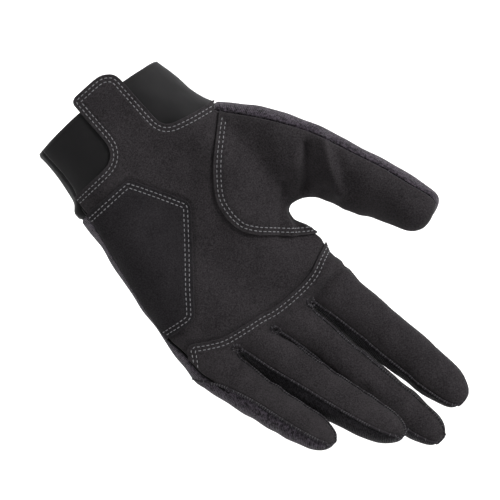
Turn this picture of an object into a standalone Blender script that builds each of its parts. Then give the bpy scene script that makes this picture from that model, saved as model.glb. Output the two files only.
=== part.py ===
"""Full-finger cycling glove for a left hand, held in the shape of the hand that wears it.

Frame: the origin is the centre of the wrist opening. The fingers point down, along -Z,
the palm faces -Y and the thumb is on the +X side. All lengths are in metres.
"""
import math

import bmesh
import bpy
from mathutils import Vector

MM = 0.001

# Driving sizes of the hand form
WRIST_DEPTH = 42 * MM
HAND_BREADTH = 87 * MM
HAND_DEPTH = 29 * MM
PALM_LENGTH = 120 * MM
THUMB_LENGTH = 110 * MM
THUMB_REACH = 52 * MM
THUMB_DEPTH = 24 * MM
FINGER_LENGTH = 86 * MM
FINGER_BREADTH = 20 * MM
FINGER_DEPTH = 16 * MM
TAB_WIDTH = 24 * MM
TAB_RISE = 9 * MM

# Fabric thicknesses and the clearance kept between two pieces
SUEDE = 1.2 * MM
KNIT = 1.2 * MM
NEOPRENE = 1.8 * MM
CLEARANCE = 0.3 * MM
LAP_SLOPE = 7 * MM
LAP_REACH = 3.5 * MM
LAP_GAP = 0.5 * MM
CORNER_LIMIT = 0.03

# One row for each finger, from the little finger to the index finger.
# length, side and curl are shares of FINGER_LENGTH. side is how far the tip moves towards
# the thumb, and sweep the power of that curve. curl and hook are the same for the palm
# side. breadth and depth are shares of FINGER_BREADTH and FINGER_DEPTH. roll turns the
# finger about its own length, in degrees. edge is where its front seam runs, in degrees
# from the middle of its palm side. Near the root a finger also swells towards its
# neighbours by the fills, shares of FINGER_BREADTH, which end at the station fill_end.
FINGERS = (
    {"name": "little", "length": 0.682, "breadth": 0.97, "depth": 0.97, "side": 0.176,
     "sweep": 1.35, "curl": 0.372, "hook": 1.2, "roll": 30, "edge": 46,
     "fill_left": 0.05, "fill_right": 0.05, "fill_end": 0.9},
    {"name": "ring", "length": 0.888, "breadth": 1.00, "depth": 1.00, "side": 0.233,
     "sweep": 1.45, "curl": 0.395, "hook": 1.5, "roll": 22, "edge": 46,
     "fill_left": 0.18, "fill_right": 0.00, "fill_end": 1.0},
    {"name": "middle", "length": 1.012, "breadth": 0.98, "depth": 1.00, "side": 0.150,
     "sweep": 1.30, "curl": 0.174, "hook": 1.5, "roll": 4, "edge": 46,
     "fill_left": 0.00, "fill_right": 0.09, "fill_end": 1.0},
    {"name": "index", "length": 0.948, "breadth": 1.04, "depth": 1.00, "side": 0.126,
     "sweep": 1.00, "curl": 0.105, "hook": 1.5, "roll": 0, "edge": 50,
     "fill_left": 0.17, "fill_right": 0.00, "fill_end": 0.8},
)
FRONT_SIDE_EDGE = 62
BACK_EDGE = 135
FILL_START = 0.25
LEFT_SIDE = (6, 7)
RIGHT_SIDE = (3, 4)
ROLL_IN = 0.4
AHEAD_STEP = 0.01
FINGER_POINTS = 8
FRONT_CAP = (3, 2, 1, 0, 7)
BACK_CAP = (7, 6, 5, 4, 3)

# Sections along every finger: station is a share of its length, breadth and depth are
# shares of its own breadth and depth
FINGER_SECTIONS = (
    {"station": 0.13, "breadth": 1.03, "depth": 1.10},
    {"station": 0.27, "breadth": 1.00, "depth": 1.03},
    {"station": 0.42, "breadth": 0.99, "depth": 1.00},
    {"station": 0.57, "breadth": 0.98, "depth": 0.98},
    {"station": 0.72, "breadth": 0.97, "depth": 0.93},
    {"station": 0.86, "breadth": 0.90, "depth": 0.82},
    {"station": 0.96, "breadth": 0.68, "depth": 0.60},
    {"station": 1.00, "breadth": 0.34, "depth": 0.30},
)

# Rings round the wrist and the palm. down is a share of PALM_LENGTH. left and right are
# shares of HAND_BREADTH from the middle of the wrist. front and back are shares of
# HAND_DEPTH. ball, heel and hollow are how far the ball of the thumb and the heel stand
# out and the middle of the palm dips, as shares of HAND_DEPTH.
PALM_RINGS = (
    {"down": -0.095, "left": -0.410, "right": 0.402, "front": 0.72, "back": 0.70,
     "ball": 0.00, "heel": 0.00, "hollow": 0.00},
    {"down": -0.030, "left": -0.412, "right": 0.402, "front": 0.72, "back": 0.70,
     "ball": 0.00, "heel": 0.00, "hollow": 0.00},
    {"down": 0.110, "left": -0.406, "right": 0.428, "front": 0.70, "back": 0.68,
     "ball": 0.00, "heel": 0.02, "hollow": 0.00},
    {"down": 0.200, "left": -0.438, "right": 0.448, "front": 0.68, "back": 0.66,
     "ball": 0.03, "heel": 0.05, "hollow": 0.02},
    {"down": 0.275, "left": -0.480, "right": 0.470, "front": 0.66, "back": 0.64,
     "ball": 0.10, "heel": 0.10, "hollow": 0.04},
    {"down": 0.390, "left": -0.482, "right": 0.470, "front": 0.62, "back": 0.60,
     "ball": 0.20, "heel": 0.14, "hollow": 0.08},
    {"down": 0.510, "left": -0.511, "right": 0.462, "front": 0.57, "back": 0.57,
     "ball": 0.24, "heel": 0.14, "hollow": 0.10},
    {"down": 0.640, "left": -0.543, "right": 0.450, "front": 0.53, "back": 0.54,
     "ball": 0.20, "heel": 0.12, "hollow": 0.11},
    {"down": 0.770, "left": -0.562, "right": 0.380, "front": 0.50, "back": 0.52,
     "ball": 0.10, "heel": 0.10, "hollow": 0.09},
    {"down": 0.885, "left": -0.582, "right": 0.404, "front": 0.48, "back": 0.50,
     "ball": 0.03, "heel": 0.08, "hollow": 0.04},
    {"down": 0.985, "left": -0.594, "right": 0.420, "front": 0.46, "back": 0.48,
     "ball": 0.00, "heel": 0.08, "hollow": 0.00},
)
CUFF_EDGE = 1
CUFF_END = 4
THUMB_END = 8
FINGER_SEAM = 10
FULL_DEPTH = 0.77

# Columns of the rings from the little finger's side to the thumb's side, as shares of the
# half breadth. Every second one runs down between two fingers.
COLUMNS = (-0.94, -0.69, -0.43, -0.22, -0.014, 0.22, 0.455, 0.71, 0.95)
SQUARENESS = 2.6
BALL = {"at": 0.80, "spread": 0.34}
HEEL = {"at": -0.72, "spread": 0.36}
HOLLOW = {"at": 0.02, "spread": 0.36}

# How far each column of the finger seam and of the cuff's front and back edges stands
# below its ring, as shares of PALM_LENGTH
SEAM_ARCH = (-0.060, -0.018, 0.004, 0.018, 0.032, 0.033, 0.028, 0.002, -0.024)
EDGE_ARCH = (0.000, -0.006, -0.010, -0.010, -0.006, 0.008, 0.024, 0.034, 0.044)
BACK_ARCH = (-0.010, -0.008, -0.004, 0.002, 0.010, 0.018, 0.028, 0.038, 0.046)

# The crotches between the fingers, from the little finger's outer side to the index
# finger's outer side. down is a share of PALM_LENGTH, across a share of HAND_BREADTH
# and forward a share of HAND_DEPTH.
WEBS = (
    {"down": 1.070, "across": -0.586, "forward": 0.20},
    {"down": 1.027, "across": -0.296, "forward": 0.15},
    {"down": 1.079, "across": -0.090, "forward": 0.08},
    {"down": 1.091, "across": 0.143, "forward": 0.04},
    {"down": 1.085, "across": 0.412, "forward": 0.00},
)
WEB_DEPTH = {"between": 0.34, "finger": 0.42}
CROTCH_DROP = 0.026
OUTER_TUCK = 0.955

# Sections of the thumb. out and in are its outer and inner edges: across is a share of
# THUMB_REACH from the palm's side, down a share of THUMB_LENGTH from the cuff's end.
# forward and depth are shares of THUMB_DEPTH.
PALM_SIDE = 36 * MM
THUMB_SECTIONS = (
    {"out_across": 0.350, "out_down": 0.104, "in_across": 0.125, "in_down": 0.548,
     "forward": 0.16, "depth": 1.34},
    {"out_across": 0.520, "out_down": 0.246, "in_across": 0.248, "in_down": 0.632,
     "forward": 0.22, "depth": 1.18},
    {"out_across": 0.662, "out_down": 0.362, "in_across": 0.345, "in_down": 0.716,
     "forward": 0.28, "depth": 1.05},
    {"out_across": 0.750, "out_down": 0.500, "in_across": 0.440, "in_down": 0.808,
     "forward": 0.33, "depth": 1.00},
    {"out_across": 0.856, "out_down": 0.622, "in_across": 0.532, "in_down": 0.884,
     "forward": 0.38, "depth": 1.00},
    {"out_across": 0.940, "out_down": 0.752, "in_across": 0.606, "in_down": 0.948,
     "forward": 0.42, "depth": 0.96},
    {"out_across": 1.018, "out_down": 0.874, "in_across": 0.668, "in_down": 0.976,
     "forward": 0.45, "depth": 0.84},
    {"out_across": 1.018, "out_down": 0.944, "in_across": 0.756, "in_down": 0.990,
     "forward": 0.46, "depth": 0.50},
)
THUMB_ROLL = 24
THUMB_STEPS = (0, 26, 56, 90, 124, 156, 184, 212, 240, 270, 300, 330)
THUMB_FRONT_CAP = (6, 5, 4, 3, 2, 1)
THUMB_BACK_CAP = (1, 0, 11, 10, 9, 8, 7, 6)

# Outlines that are cut from the palm side, as shares across HAND_BREADTH and down
# PALM_LENGTH. The tab's own corners are shares of TAB_WIDTH and TAB_RISE.
THUMB_OUTLINE = (
    (0.62, 0.20), (0.448, 0.331), (0.368, 0.382), (0.253, 0.458), (0.157, 0.542),
    (0.124, 0.598), (0.115, 0.667), (0.129, 0.722), (0.176, 0.771), (0.244, 0.819),
    (0.310, 0.868), (0.368, 0.898), (0.425, 0.923), (0.60, 0.955), (0.60, 1.35), (1.30, 1.35),
    (1.30, 0.20),
)
HEEL_OUTLINE = (
    (-0.70, 0.281), (-0.149, 0.284), (-0.127, 0.293), (0.010, 0.478), (0.018, 0.500),
    (0.014, 0.520), (-0.250, 0.750), (-0.350, 0.838), (-0.378, 0.849), (-0.414, 0.849),
    (-0.70, 0.833),
)
TAB_MIDDLE = 4.2 * MM
TAB_OUTLINE = (
    (-0.50, -1.20), (-0.50, 0.72), (-0.41, 1.00), (0.26, 1.00), (0.50, 0.50), (0.50, -2.42),
)
PANEL_RIGHT = ((0.210, 0.233), (0.253, 0.243), (0.348, 0.264), (0.434, 0.273), (0.75, 0.283))
PANEL_LEFT = ((-0.75, 0.200), (-0.138, 0.200), (-0.107, 0.158))
PANEL_LOW = ((0.75, 1.20), (-0.75, 1.20))
CUTTER_REACH = 60 * MM
WELD = 0.01 * MM
SMOOTH_LEVELS = 1
SHARP_ANGLE = 50

# Zones of the form, from which the pieces take their faces
ZONES = ("spare", "tab", "cuff_front", "cuff_back", "palm", "back", "thumb_front",
         "thumb_back", "fingers_front", "fourchette_0", "fourchette_1", "fourchette_2")

# Colour, roughness and metallic value of each fabric
FABRICS = {
    "suede": ((0.018, 0.018, 0.019, 1.0), 0.92, 0.0),
    "knit": ((0.045, 0.042, 0.052, 1.0), 0.95, 0.0),
    "neoprene": ((0.010, 0.011, 0.013, 1.0), 0.60, 0.0),
}


def clear_scene():
    """Remove what a new Blender file holds."""
    for item in list(bpy.data.objects):
        bpy.data.objects.remove(item, do_unlink=True)


def cage_scale(sides):
    """Return how much larger a cage ring is than the smooth ring that it makes."""
    return 3.0 / (2.0 + math.cos(2.0 * math.pi / sides))


def depth_scale(down):
    """Return the size of HAND_DEPTH's shares, which grow to the wrist's own depth."""
    wrist = WRIST_DEPTH / (PALM_RINGS[0]["front"] + PALM_RINGS[0]["back"])
    fade = min(max(down / FULL_DEPTH, 0.0), 1.0)
    return wrist + (HAND_DEPTH - wrist) * fade


def bump(share, place):
    """Return a smooth hill of height 1 over one place of a ring."""
    return math.exp(-((share - place["at"]) / place["spread"]) ** 2)


def ring_point(ring, share, side, arch=0.0):
    """Return a place on a wrist or palm ring. side is 1 in front, -1 behind, 0 between."""
    middle = (ring["left"] + ring["right"]) / 2 * HAND_BREADTH
    half = (ring["right"] - ring["left"]) / 2 * HAND_BREADTH
    height = max(1 - abs(share) ** SQUARENESS, 0.0) ** (1 / SQUARENESS)
    if side > 0:
        relief = ring["ball"] * bump(share, BALL) + ring["heel"] * bump(share, HEEL)
        deep = -(ring["front"] * height + relief - ring["hollow"] * bump(share, HOLLOW))
    else:
        deep = -side * ring["back"] * height
    down = (ring["down"] + arch) * PALM_LENGTH
    return Vector((middle + share * half, deep * depth_scale(ring["down"]), -down))


def finger_place(finger, root, station):
    """Return the middle of a finger at a station, counted from the middle of its root."""
    side = finger["side"] * station ** finger["sweep"]
    forward = finger["curl"] * station ** finger["hook"]
    return root + Vector((side, -forward, -finger["length"] * station)) * FINGER_LENGTH


def finger_ring(finger, root, section):
    """Return the eight cage points of one section, front seam first, round to the side."""
    station = section["station"]
    ahead = finger_place(finger, root, station)
    ahead -= finger_place(finger, root, station - AHEAD_STEP)
    ahead.normalize()
    across = Vector((1, 0, 0))
    across -= ahead * across.dot(ahead)
    across.normalize()
    front = ahead.cross(across)
    roll = math.radians(finger["roll"]) * min(station / ROLL_IN, 1.0)
    rolled_front = front * math.cos(roll) + across * math.sin(roll)
    rolled_across = across * math.cos(roll) - front * math.sin(roll)
    scale = cage_scale(FINGER_POINTS) / 2
    half = finger["breadth"] * FINGER_BREADTH * section["breadth"] * scale
    deep = finger["depth"] * FINGER_DEPTH * section["depth"] * scale
    left, right = -finger["edge"], FRONT_SIDE_EDGE
    turns = (left, (left + right) / 2, right, (right + BACK_EDGE) / 2,
             BACK_EDGE, 180, -BACK_EDGE, (left - BACK_EDGE) / 2)
    middle = finger_place(finger, root, station)
    fade = (finger["fill_end"] - station) / (finger["fill_end"] - FILL_START)
    swell = FINGER_BREADTH * min(max(fade, 0.0), 1.0)
    points = []
    for n, turn in enumerate(turns):
        angle = math.radians(turn)
        wide = half * math.sin(angle)
        if n in LEFT_SIDE:
            wide -= finger["fill_left"] * swell
        if n in RIGHT_SIDE:
            wide += finger["fill_right"] * swell
        points.append(middle + rolled_across * wide + rolled_front * deep * math.cos(angle))
    return points


def thumb_ring(section):
    """Return the twelve cage points of one thumb section, outer edge first, front next."""
    top = PALM_RINGS[CUFF_END]["down"] * PALM_LENGTH
    forward = -section["forward"] * THUMB_DEPTH

    def edge(name):
        across = PALM_SIDE + section[name + "_across"] * THUMB_REACH
        down = top + section[name + "_down"] * THUMB_LENGTH
        return Vector((across, forward, -down))

    outer, inner = edge("out"), edge("in")
    middle = (outer + inner) / 2
    scale = cage_scale(len(THUMB_STEPS)) / 2
    half = (outer - inner).length * scale
    deep = section["depth"] * THUMB_DEPTH * scale
    out = (outer - inner).normalized()
    front = Vector((0, -1, 0))
    roll = math.radians(THUMB_ROLL)
    rolled_out = out * math.cos(roll) + front * math.sin(roll)
    rolled_front = front * math.cos(roll) - out * math.sin(roll)
    points = []
    for turn in THUMB_STEPS:
        angle = math.radians(turn)
        points.append(middle + rolled_out * half * math.cos(angle)
                      + rolled_front * deep * math.sin(angle))
    return points


class Cage:
    """The coarse cage of the hand form, with a zone on each face."""

    def __init__(self):
        self.mesh = bmesh.new()
        self.points = {}

    def point(self, key, place):
        self.points[key] = self.mesh.verts.new(place)

    def face(self, zone, keys):
        face = self.mesh.faces.new([self.points[key] for key in keys])
        face.material_index = ZONES.index(zone)

    def band(self, upper, lower, zones):
        """Join two rings of keys with one quad a segment. zones names each one's zone."""
        count = len(upper)
        for i, zone in enumerate(zones):
            if zone:
                j = (i + 1) % count
                self.face(zone, (upper[i], lower[i], lower[j], upper[j]))


def palm_keys(row):
    """Return a ring's keys: front from left to right, then the back from right to left."""
    last = len(COLUMNS)
    front = [("front", row, i) for i in range(last)]
    back = [("back", row, i) for i in reversed(range(last))]
    return front + [("side", row, 1)] + back + [("side", row, 0)]


def palm_zones(row):
    """Return the zone of each face below a ring, in the order of palm_keys."""
    gaps = len(COLUMNS) - 1
    if row < CUFF_EDGE:
        return ["tab"] * gaps + ["spare"] * (gaps + 4)
    if row < CUFF_END:
        return ["cuff_front"] * (gaps + 1) + ["cuff_back"] * (gaps + 3)
    open_side = row < THUMB_END
    right = [None, None] if open_side else ["palm", "back"]
    return ["palm"] * gaps + right + ["back"] * (gaps + 1) + ["palm"]


def add_palm(cage):
    """Add the rings of the wrist and the palm, open on the side where the thumb leaves."""
    for row, ring in enumerate(PALM_RINGS):
        arches = [0.0] * len(COLUMNS)
        back_arches = arches
        if row == CUFF_EDGE:
            arches = EDGE_ARCH
            back_arches = BACK_ARCH
        if row == FINGER_SEAM:
            arches = SEAM_ARCH
        for i, share in enumerate(COLUMNS):
            cage.point(("front", row, i), ring_point(ring, share, 1, arches[i]))
            cage.point(("back", row, i), ring_point(ring, share, -1, back_arches[i]))
        cage.point(("side", row, 0), ring_point(ring, -1.0, 0))
        if not CUFF_END < row < THUMB_END:
            cage.point(("side", row, 1), ring_point(ring, 1.0, 0, arches[-1]))
    for row in range(FINGER_SEAM):
        keys = [palm_keys(row), palm_keys(row + 1)]
        cage.band(keys[0], keys[1], palm_zones(row))


def add_webs(cage):
    """Add the row of points at the finger roots, with a crotch between each two fingers."""
    row = FINGER_SEAM + 1
    scale = HAND_DEPTH
    for i in range(len(COLUMNS)):
        near = [WEBS[i // 2], WEBS[(i + 1) // 2]]
        down = (near[0]["down"] + near[1]["down"]) / 2 * PALM_LENGTH
        across = (near[0]["across"] + near[1]["across"]) / 2 * HAND_BREADTH
        forward = (near[0]["forward"] + near[1]["forward"]) / 2 * scale
        deep = WEB_DEPTH["finger" if i % 2 else "between"] * scale
        if i in (0, len(COLUMNS) - 1):
            across *= OUTER_TUCK
        cage.point(("front", row, i), Vector((across, -forward - deep, -down)))
        cage.point(("back", row, i), Vector((across, -forward + deep, -down)))
    for k, web in enumerate(WEBS):
        inner = 0 < k < len(WEBS) - 1
        down = (web["down"] + (CROTCH_DROP if inner else 0.0)) * PALM_LENGTH
        cage.point(("web", k), Vector((web["across"] * HAND_BREADTH, -web["forward"] * scale, -down)))
    upper, lower = palm_keys(FINGER_SEAM), palm_keys(row)
    last = len(COLUMNS)
    lower[last] = ("web", len(WEBS) - 1)
    lower[-1] = ("web", 0)
    zones = ["fingers_front"] * last + ["back"] * (last + 1) + [None]
    cage.band(upper, lower, zones)
    side, front = ("side", FINGER_SEAM, 0), ("front", FINGER_SEAM, 0)
    cage.face("fingers_front", (side, ("front", row, 0), front))
    cage.face("back", (side, ("web", 0), ("front", row, 0)))


def add_finger(cage, k):
    """Add finger k, from its root between two crotches to its tip."""
    row = FINGER_SEAM + 1
    finger = FINGERS[k]
    i = 2 * k
    root_keys = [("front", row, i), ("front", row, i + 1), ("front", row, i + 2), ("web", k + 1),
                 ("back", row, i + 2), ("back", row, i + 1), ("back", row, i), ("web", k)]
    places = [cage.points[key].co for key in root_keys]
    root = sum(places, Vector()) / len(places)
    little, index = k == 0, k == len(FINGERS) - 1
    right = ["fingers_front", "back"] if index else ["fourchette_%d" % k] * 2
    left = ["back"] * 2 if little else ["fourchette_%d" % (k - 1)] * 2
    zones = ["fingers_front"] * 2 + right + ["back"] * 2 + left
    above = root_keys
    for j, section in enumerate(FINGER_SECTIONS):
        below = [("finger", k, j, n) for n in range(FINGER_POINTS)]
        for key, place in zip(below, finger_ring(finger, root, section)):
            cage.point(key, place)
        cage.band(above, below, zones)
        above = below
    cage.face("fingers_front", [above[n] for n in FRONT_CAP])
    cage.face("back", [above[n] for n in BACK_CAP])


def add_thumb(cage):
    """Add the thumb, from the opening in the palm's side to its tip."""
    rows = range(CUFF_END, THUMB_END + 1)
    last = len(COLUMNS) - 1
    above = [("side", CUFF_END, 1)] + [("front", row, last) for row in rows]
    above += [("side", THUMB_END, 1)] + [("back", row, last) for row in reversed(rows)]
    zones = ["thumb_back"] + ["thumb_front"] * len(rows) + ["thumb_back"] * (len(rows) + 1)
    for j, section in enumerate(THUMB_SECTIONS):
        below = [("thumb", j, n) for n in range(len(THUMB_STEPS))]
        for key, place in zip(below, thumb_ring(section)):
            cage.point(key, place)
        cage.band(above, below, zones)
        above = below
    cage.face("thumb_front", [above[n] for n in THUMB_FRONT_CAP])
    cage.face("thumb_back", [above[n] for n in THUMB_BACK_CAP])


def hand_form():
    """Return the smooth outer surface of the whole glove as one mesh."""
    cage = Cage()
    add_palm(cage)
    add_webs(cage)
    for k in range(len(FINGERS)):
        add_finger(cage, k)
    add_thumb(cage)
    bmesh.ops.recalc_face_normals(cage.mesh, faces=cage.mesh.faces)
    mesh = bpy.data.meshes.new("hand_form_cage")
    cage.mesh.to_mesh(mesh)
    cage.mesh.free()
    form = bpy.data.objects.new("hand_form", mesh)
    bpy.context.scene.collection.objects.link(form)
    smooth = form.modifiers.new("Smooth", "SUBSURF")
    smooth.levels = SMOOTH_LEVELS
    smooth.render_levels = SMOOTH_LEVELS
    graph = bpy.context.evaluated_depsgraph_get()
    surface = bpy.data.meshes.new_from_object(form.evaluated_get(graph))
    bpy.data.objects.remove(form)
    bpy.data.meshes.remove(mesh)
    return surface


def lap_lift(layers):
    """Return a rule for a piece that lies on the cuff, and on layers of suede below it."""
    step = SUEDE + LAP_GAP
    end = PALM_RINGS[CUFF_END]["down"] * PALM_LENGTH + LAP_REACH

    def lift(place):
        past = (-place.z - end) / LAP_SLOPE
        fade = min(max(1.0 - past, 0.0), 1.0)
        return step * (layers + fade * fade * (3 - 2 * fade))

    return lift


def flat_lift(place):
    """Return no lift, for a piece that lies in the form's own surface."""
    return 0.0


def wall(surface, zones, thickness, lift=flat_lift):
    """Return the faces of some zones as a closed wall.

    Its normals are those of the whole form, so two neighbours keep an even gap. Every edge
    stands back half the clearance from the zone's own line, and neighbours split their rims
    along the same diagonals.
    """
    form = bmesh.new()
    form.from_mesh(surface)
    form.normal_update()
    wanted = {ZONES.index(zone) for zone in zones}
    kept = [face for face in form.faces if face.material_index in wanted]
    kept_set = set(kept)
    pull = {}
    rims = []
    for face in kept:
        for loop in face.loops:
            others = [other for other in loop.edge.link_faces if other is not face]
            if others and others[0] in kept_set:
                continue
            start, end = loop.vert, loop.link_loop_next.vert
            along = (end.co - start.co).normalized()
            inward = face.calc_center_median() - start.co
            inward -= along * inward.dot(along)
            inward.normalize()
            rims.append((start, end))
            pull.setdefault(start, []).append(inward)
            pull.setdefault(end, []).append(inward)
    result = bmesh.new()
    outer, inner = {}, {}
    for vert in {vert for face in kept for vert in face.verts}:
        place = vert.co.copy()
        if vert in pull:
            mean = sum(pull[vert], Vector()) / len(pull[vert])
            place += mean * (CLEARANCE / 2 / max(mean.length_squared, CORNER_LIMIT))
        height = lift(vert.co)
        outer[vert] = result.verts.new(place + vert.normal * height)
        inner[vert] = result.verts.new(place + vert.normal * (height - thickness))
    for face in kept:
        result.faces.new([outer[vert] for vert in face.verts])
        result.faces.new([inner[vert] for vert in reversed(face.verts)])
    for start, end in rims:
        far = end if start.index < end.index else start
        near = start if far is end else end
        result.faces.new((outer[end], outer[start], inner[far]))
        result.faces.new((inner[start], inner[end], outer[near]))
    bmesh.ops.recalc_face_normals(result, faces=result.faces)
    form.free()
    return result


def fabric(name):
    """Return a Principled material for one fabric."""
    colour, roughness, metallic = FABRICS[name]
    material = bpy.data.materials.new(name)
    material.use_nodes = True
    shader = material.node_tree.nodes["Principled BSDF"]
    shader.inputs["Base Color"].default_value = colour
    shader.inputs["Roughness"].default_value = roughness
    shader.inputs["Metallic"].default_value = metallic
    return material


def add_piece(collection, name, shape, cloth, cuts=()):
    """Make one named piece of a wall. cuts lists each cutter with how it is used."""
    mesh = bpy.data.meshes.new(name)
    shape.to_mesh(mesh)
    shape.free()
    mesh.shade_smooth()
    mesh.set_sharp_from_angle(angle=math.radians(SHARP_ANGLE))
    mesh.materials.clear()
    mesh.materials.append(fabric(cloth))
    piece = bpy.data.objects.new(name, mesh)
    collection.objects.link(piece)
    for cutter, operation in cuts:
        cut = piece.modifiers.new("Cut", "BOOLEAN")
        cut.object = cutter
        cut.operation = operation
        cut.solver = "EXACT"
    return piece


def palm_share(points):
    """Turn shares across the hand and down the palm into lengths."""
    return [(across * HAND_BREADTH, -down * PALM_LENGTH) for across, down in points]


def panel_outline():
    """Return the palm panel's outline: the tab, then the shoulders over the cuff."""
    tab = [(TAB_MIDDLE + across * TAB_WIDTH, up * TAB_RISE) for across, up in TAB_OUTLINE]
    return palm_share(PANEL_LEFT) + tab + palm_share(PANEL_RIGHT) + palm_share(PANEL_LOW)


def add_cutter(collection, name, outline, grow=0.0):
    """Make a prism along Y with an outline in the X-Z plane, grown by a clearance."""
    curve = bpy.data.curves.new(name, "CURVE")
    curve.dimensions = "2D"
    curve.fill_mode = "BOTH"
    curve.extrude = CUTTER_REACH
    curve.offset = grow
    spline = curve.splines.new("POLY")
    spline.points.add(len(outline) - 1)
    for point, (across, up) in zip(spline.points, outline):
        point.co = (across, up, 0.0, 1.0)
    spline.use_cyclic_u = True
    flat = bpy.data.objects.new(name + "_curve", curve)
    flat.rotation_euler = (math.radians(90), 0, 0)
    collection.objects.link(flat)
    graph = bpy.context.evaluated_depsgraph_get()
    mesh = bpy.data.meshes.new_from_object(flat.evaluated_get(graph))
    solid = bmesh.new()
    solid.from_mesh(mesh)
    bmesh.ops.remove_doubles(solid, verts=solid.verts, dist=WELD)
    bmesh.ops.recalc_face_normals(solid, faces=solid.faces)
    solid.to_mesh(mesh)
    solid.free()
    cutter = bpy.data.objects.new(name, mesh)
    cutter.matrix_world = flat.matrix_world.copy()
    cutter.rotation_euler = flat.rotation_euler
    cutter.hide_render = True
    cutter.display_type = "WIRE"
    collection.objects.link(cutter)
    bpy.data.objects.remove(flat)
    return cutter


def main():
    clear_scene()
    glove = bpy.data.collections.new("cycling_glove")
    cutters = bpy.data.collections.new("cutters")
    bpy.context.scene.collection.children.link(glove)
    bpy.context.scene.collection.children.link(cutters)

    panel = add_cutter(cutters, "palm_outline", panel_outline())
    thumb = add_cutter(cutters, "thumb_outline", palm_share(THUMB_OUTLINE))
    thumb_clear = add_cutter(cutters, "thumb_clear", palm_share(THUMB_OUTLINE), CLEARANCE)
    heel = add_cutter(cutters, "heel_outline", palm_share(HEEL_OUTLINE))

    surface = hand_form()
    add_piece(glove, "cuff_front", wall(surface, ["cuff_front"], NEOPRENE), "neoprene")
    add_piece(glove, "cuff_back", wall(surface, ["cuff_back"], NEOPRENE), "neoprene")
    add_piece(glove, "palm_panel", wall(surface, ["tab", "cuff_front", "palm"], SUEDE, lap_lift(0)),
              "suede", [(panel, "INTERSECT"), (thumb_clear, "DIFFERENCE")])
    add_piece(glove, "heel_patch", wall(surface, ["palm"], SUEDE, lap_lift(1)),
              "suede", [(heel, "INTERSECT")])
    add_piece(glove, "thumb_panel", wall(surface, ["palm", "thumb_front"], SUEDE),
              "suede", [(thumb, "INTERSECT")])
    add_piece(glove, "finger_panel", wall(surface, ["fingers_front"], SUEDE), "suede")
    between = ("fourchette_ring_little", "fourchette_middle_ring", "fourchette_index_middle")
    for k, name in enumerate(between):
        add_piece(glove, name, wall(surface, ["fourchette_%d" % k], KNIT), "knit")
    add_piece(glove, "back_panel", wall(surface, ["back"], KNIT), "knit")
    add_piece(glove, "thumb_back", wall(surface, ["thumb_back"], KNIT), "knit")


main()
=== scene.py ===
# %% [markdown]
# # A cycling glove, sewn panel by panel
# The solids give every panel its place. This script gives each one its real surface. It is
# kept as cells, so that each step can be read and run by itself.

# %% Load the frame
import math

import bmesh
import bpy
import numpy as np
from mathutils import Matrix, Vector
from mathutils.bvhtree import BVHTree
from mathutils.kdtree import KDTree


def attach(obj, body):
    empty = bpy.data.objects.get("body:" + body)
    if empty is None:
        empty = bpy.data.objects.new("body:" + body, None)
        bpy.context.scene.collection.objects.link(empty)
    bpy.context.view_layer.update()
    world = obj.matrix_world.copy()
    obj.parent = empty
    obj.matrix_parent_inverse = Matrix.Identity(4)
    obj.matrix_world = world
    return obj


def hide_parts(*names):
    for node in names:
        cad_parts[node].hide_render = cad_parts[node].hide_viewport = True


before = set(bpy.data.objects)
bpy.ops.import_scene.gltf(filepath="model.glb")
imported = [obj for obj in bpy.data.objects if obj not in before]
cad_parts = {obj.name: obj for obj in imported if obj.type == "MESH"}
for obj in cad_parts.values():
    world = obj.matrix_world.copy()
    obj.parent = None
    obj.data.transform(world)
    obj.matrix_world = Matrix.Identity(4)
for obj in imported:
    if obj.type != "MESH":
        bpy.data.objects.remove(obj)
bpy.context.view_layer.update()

MM = 0.001
print("solids:", sorted(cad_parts))

# %% [markdown]
# ## The camera
# The photograph looks straight at the palm, with the fingers pointing down to the right. The
# camera looks along +Y and is rolled until the glove's length runs 48 degrees below the
# horizontal. A long lens from far away keeps the fingers that curl forwards at their size.

# %% Camera
GLOVE_TILT = math.radians(48)
MM_PER_PIXEL = 0.46
IMAGE_SIZE = 500
VIEW_CENTRE = Vector((8.3 * MM, 0, -95.4 * MM))
CAMERA_DISTANCE = 1.6
SENSOR = 36.0

right = Vector((math.sin(GLOVE_TILT), 0, -math.cos(GLOVE_TILT)))
up = Vector((math.cos(GLOVE_TILT), 0, math.sin(GLOVE_TILT)))
back = right.cross(up)
camera_data = bpy.data.cameras.new("camera")
camera_data.sensor_width = SENSOR
camera_data.lens = SENSOR * CAMERA_DISTANCE / (IMAGE_SIZE * MM_PER_PIXEL * MM)
camera_data.clip_start = 0.01
camera = bpy.data.objects.new("camera", camera_data)
camera.matrix_world = Matrix((
    (right.x, up.x, back.x, VIEW_CENTRE.x + back.x * CAMERA_DISTANCE),
    (right.y, up.y, back.y, VIEW_CENTRE.y + back.y * CAMERA_DISTANCE),
    (right.z, up.z, back.z, VIEW_CENTRE.z + back.z * CAMERA_DISTANCE),
    (0, 0, 0, 1)))
bpy.context.scene.collection.objects.link(camera)
bpy.context.scene.camera = camera
print("lens", round(camera_data.lens, 1), "mm")

# %% [markdown]
# ## The sizes of the form
# A worn glove has the shape of a hand. Sections round the wrist, the palm, each finger and
# the thumb describe that shape, as shares of a few sizes. They are the same sections that
# the solids were made from, so the cloth lies where the solids are.

# %% Sizes
WRIST_DEPTH = 42 * MM
HAND_BREADTH = 87 * MM
HAND_DEPTH = 29 * MM
PALM_LENGTH = 120 * MM
THUMB_LENGTH = 110 * MM
THUMB_REACH = 52 * MM
THUMB_DEPTH = 24 * MM
FINGER_LENGTH = 86 * MM
FINGER_BREADTH = 20 * MM
FINGER_DEPTH = 16 * MM
FINGER_POINTS = 8

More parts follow.
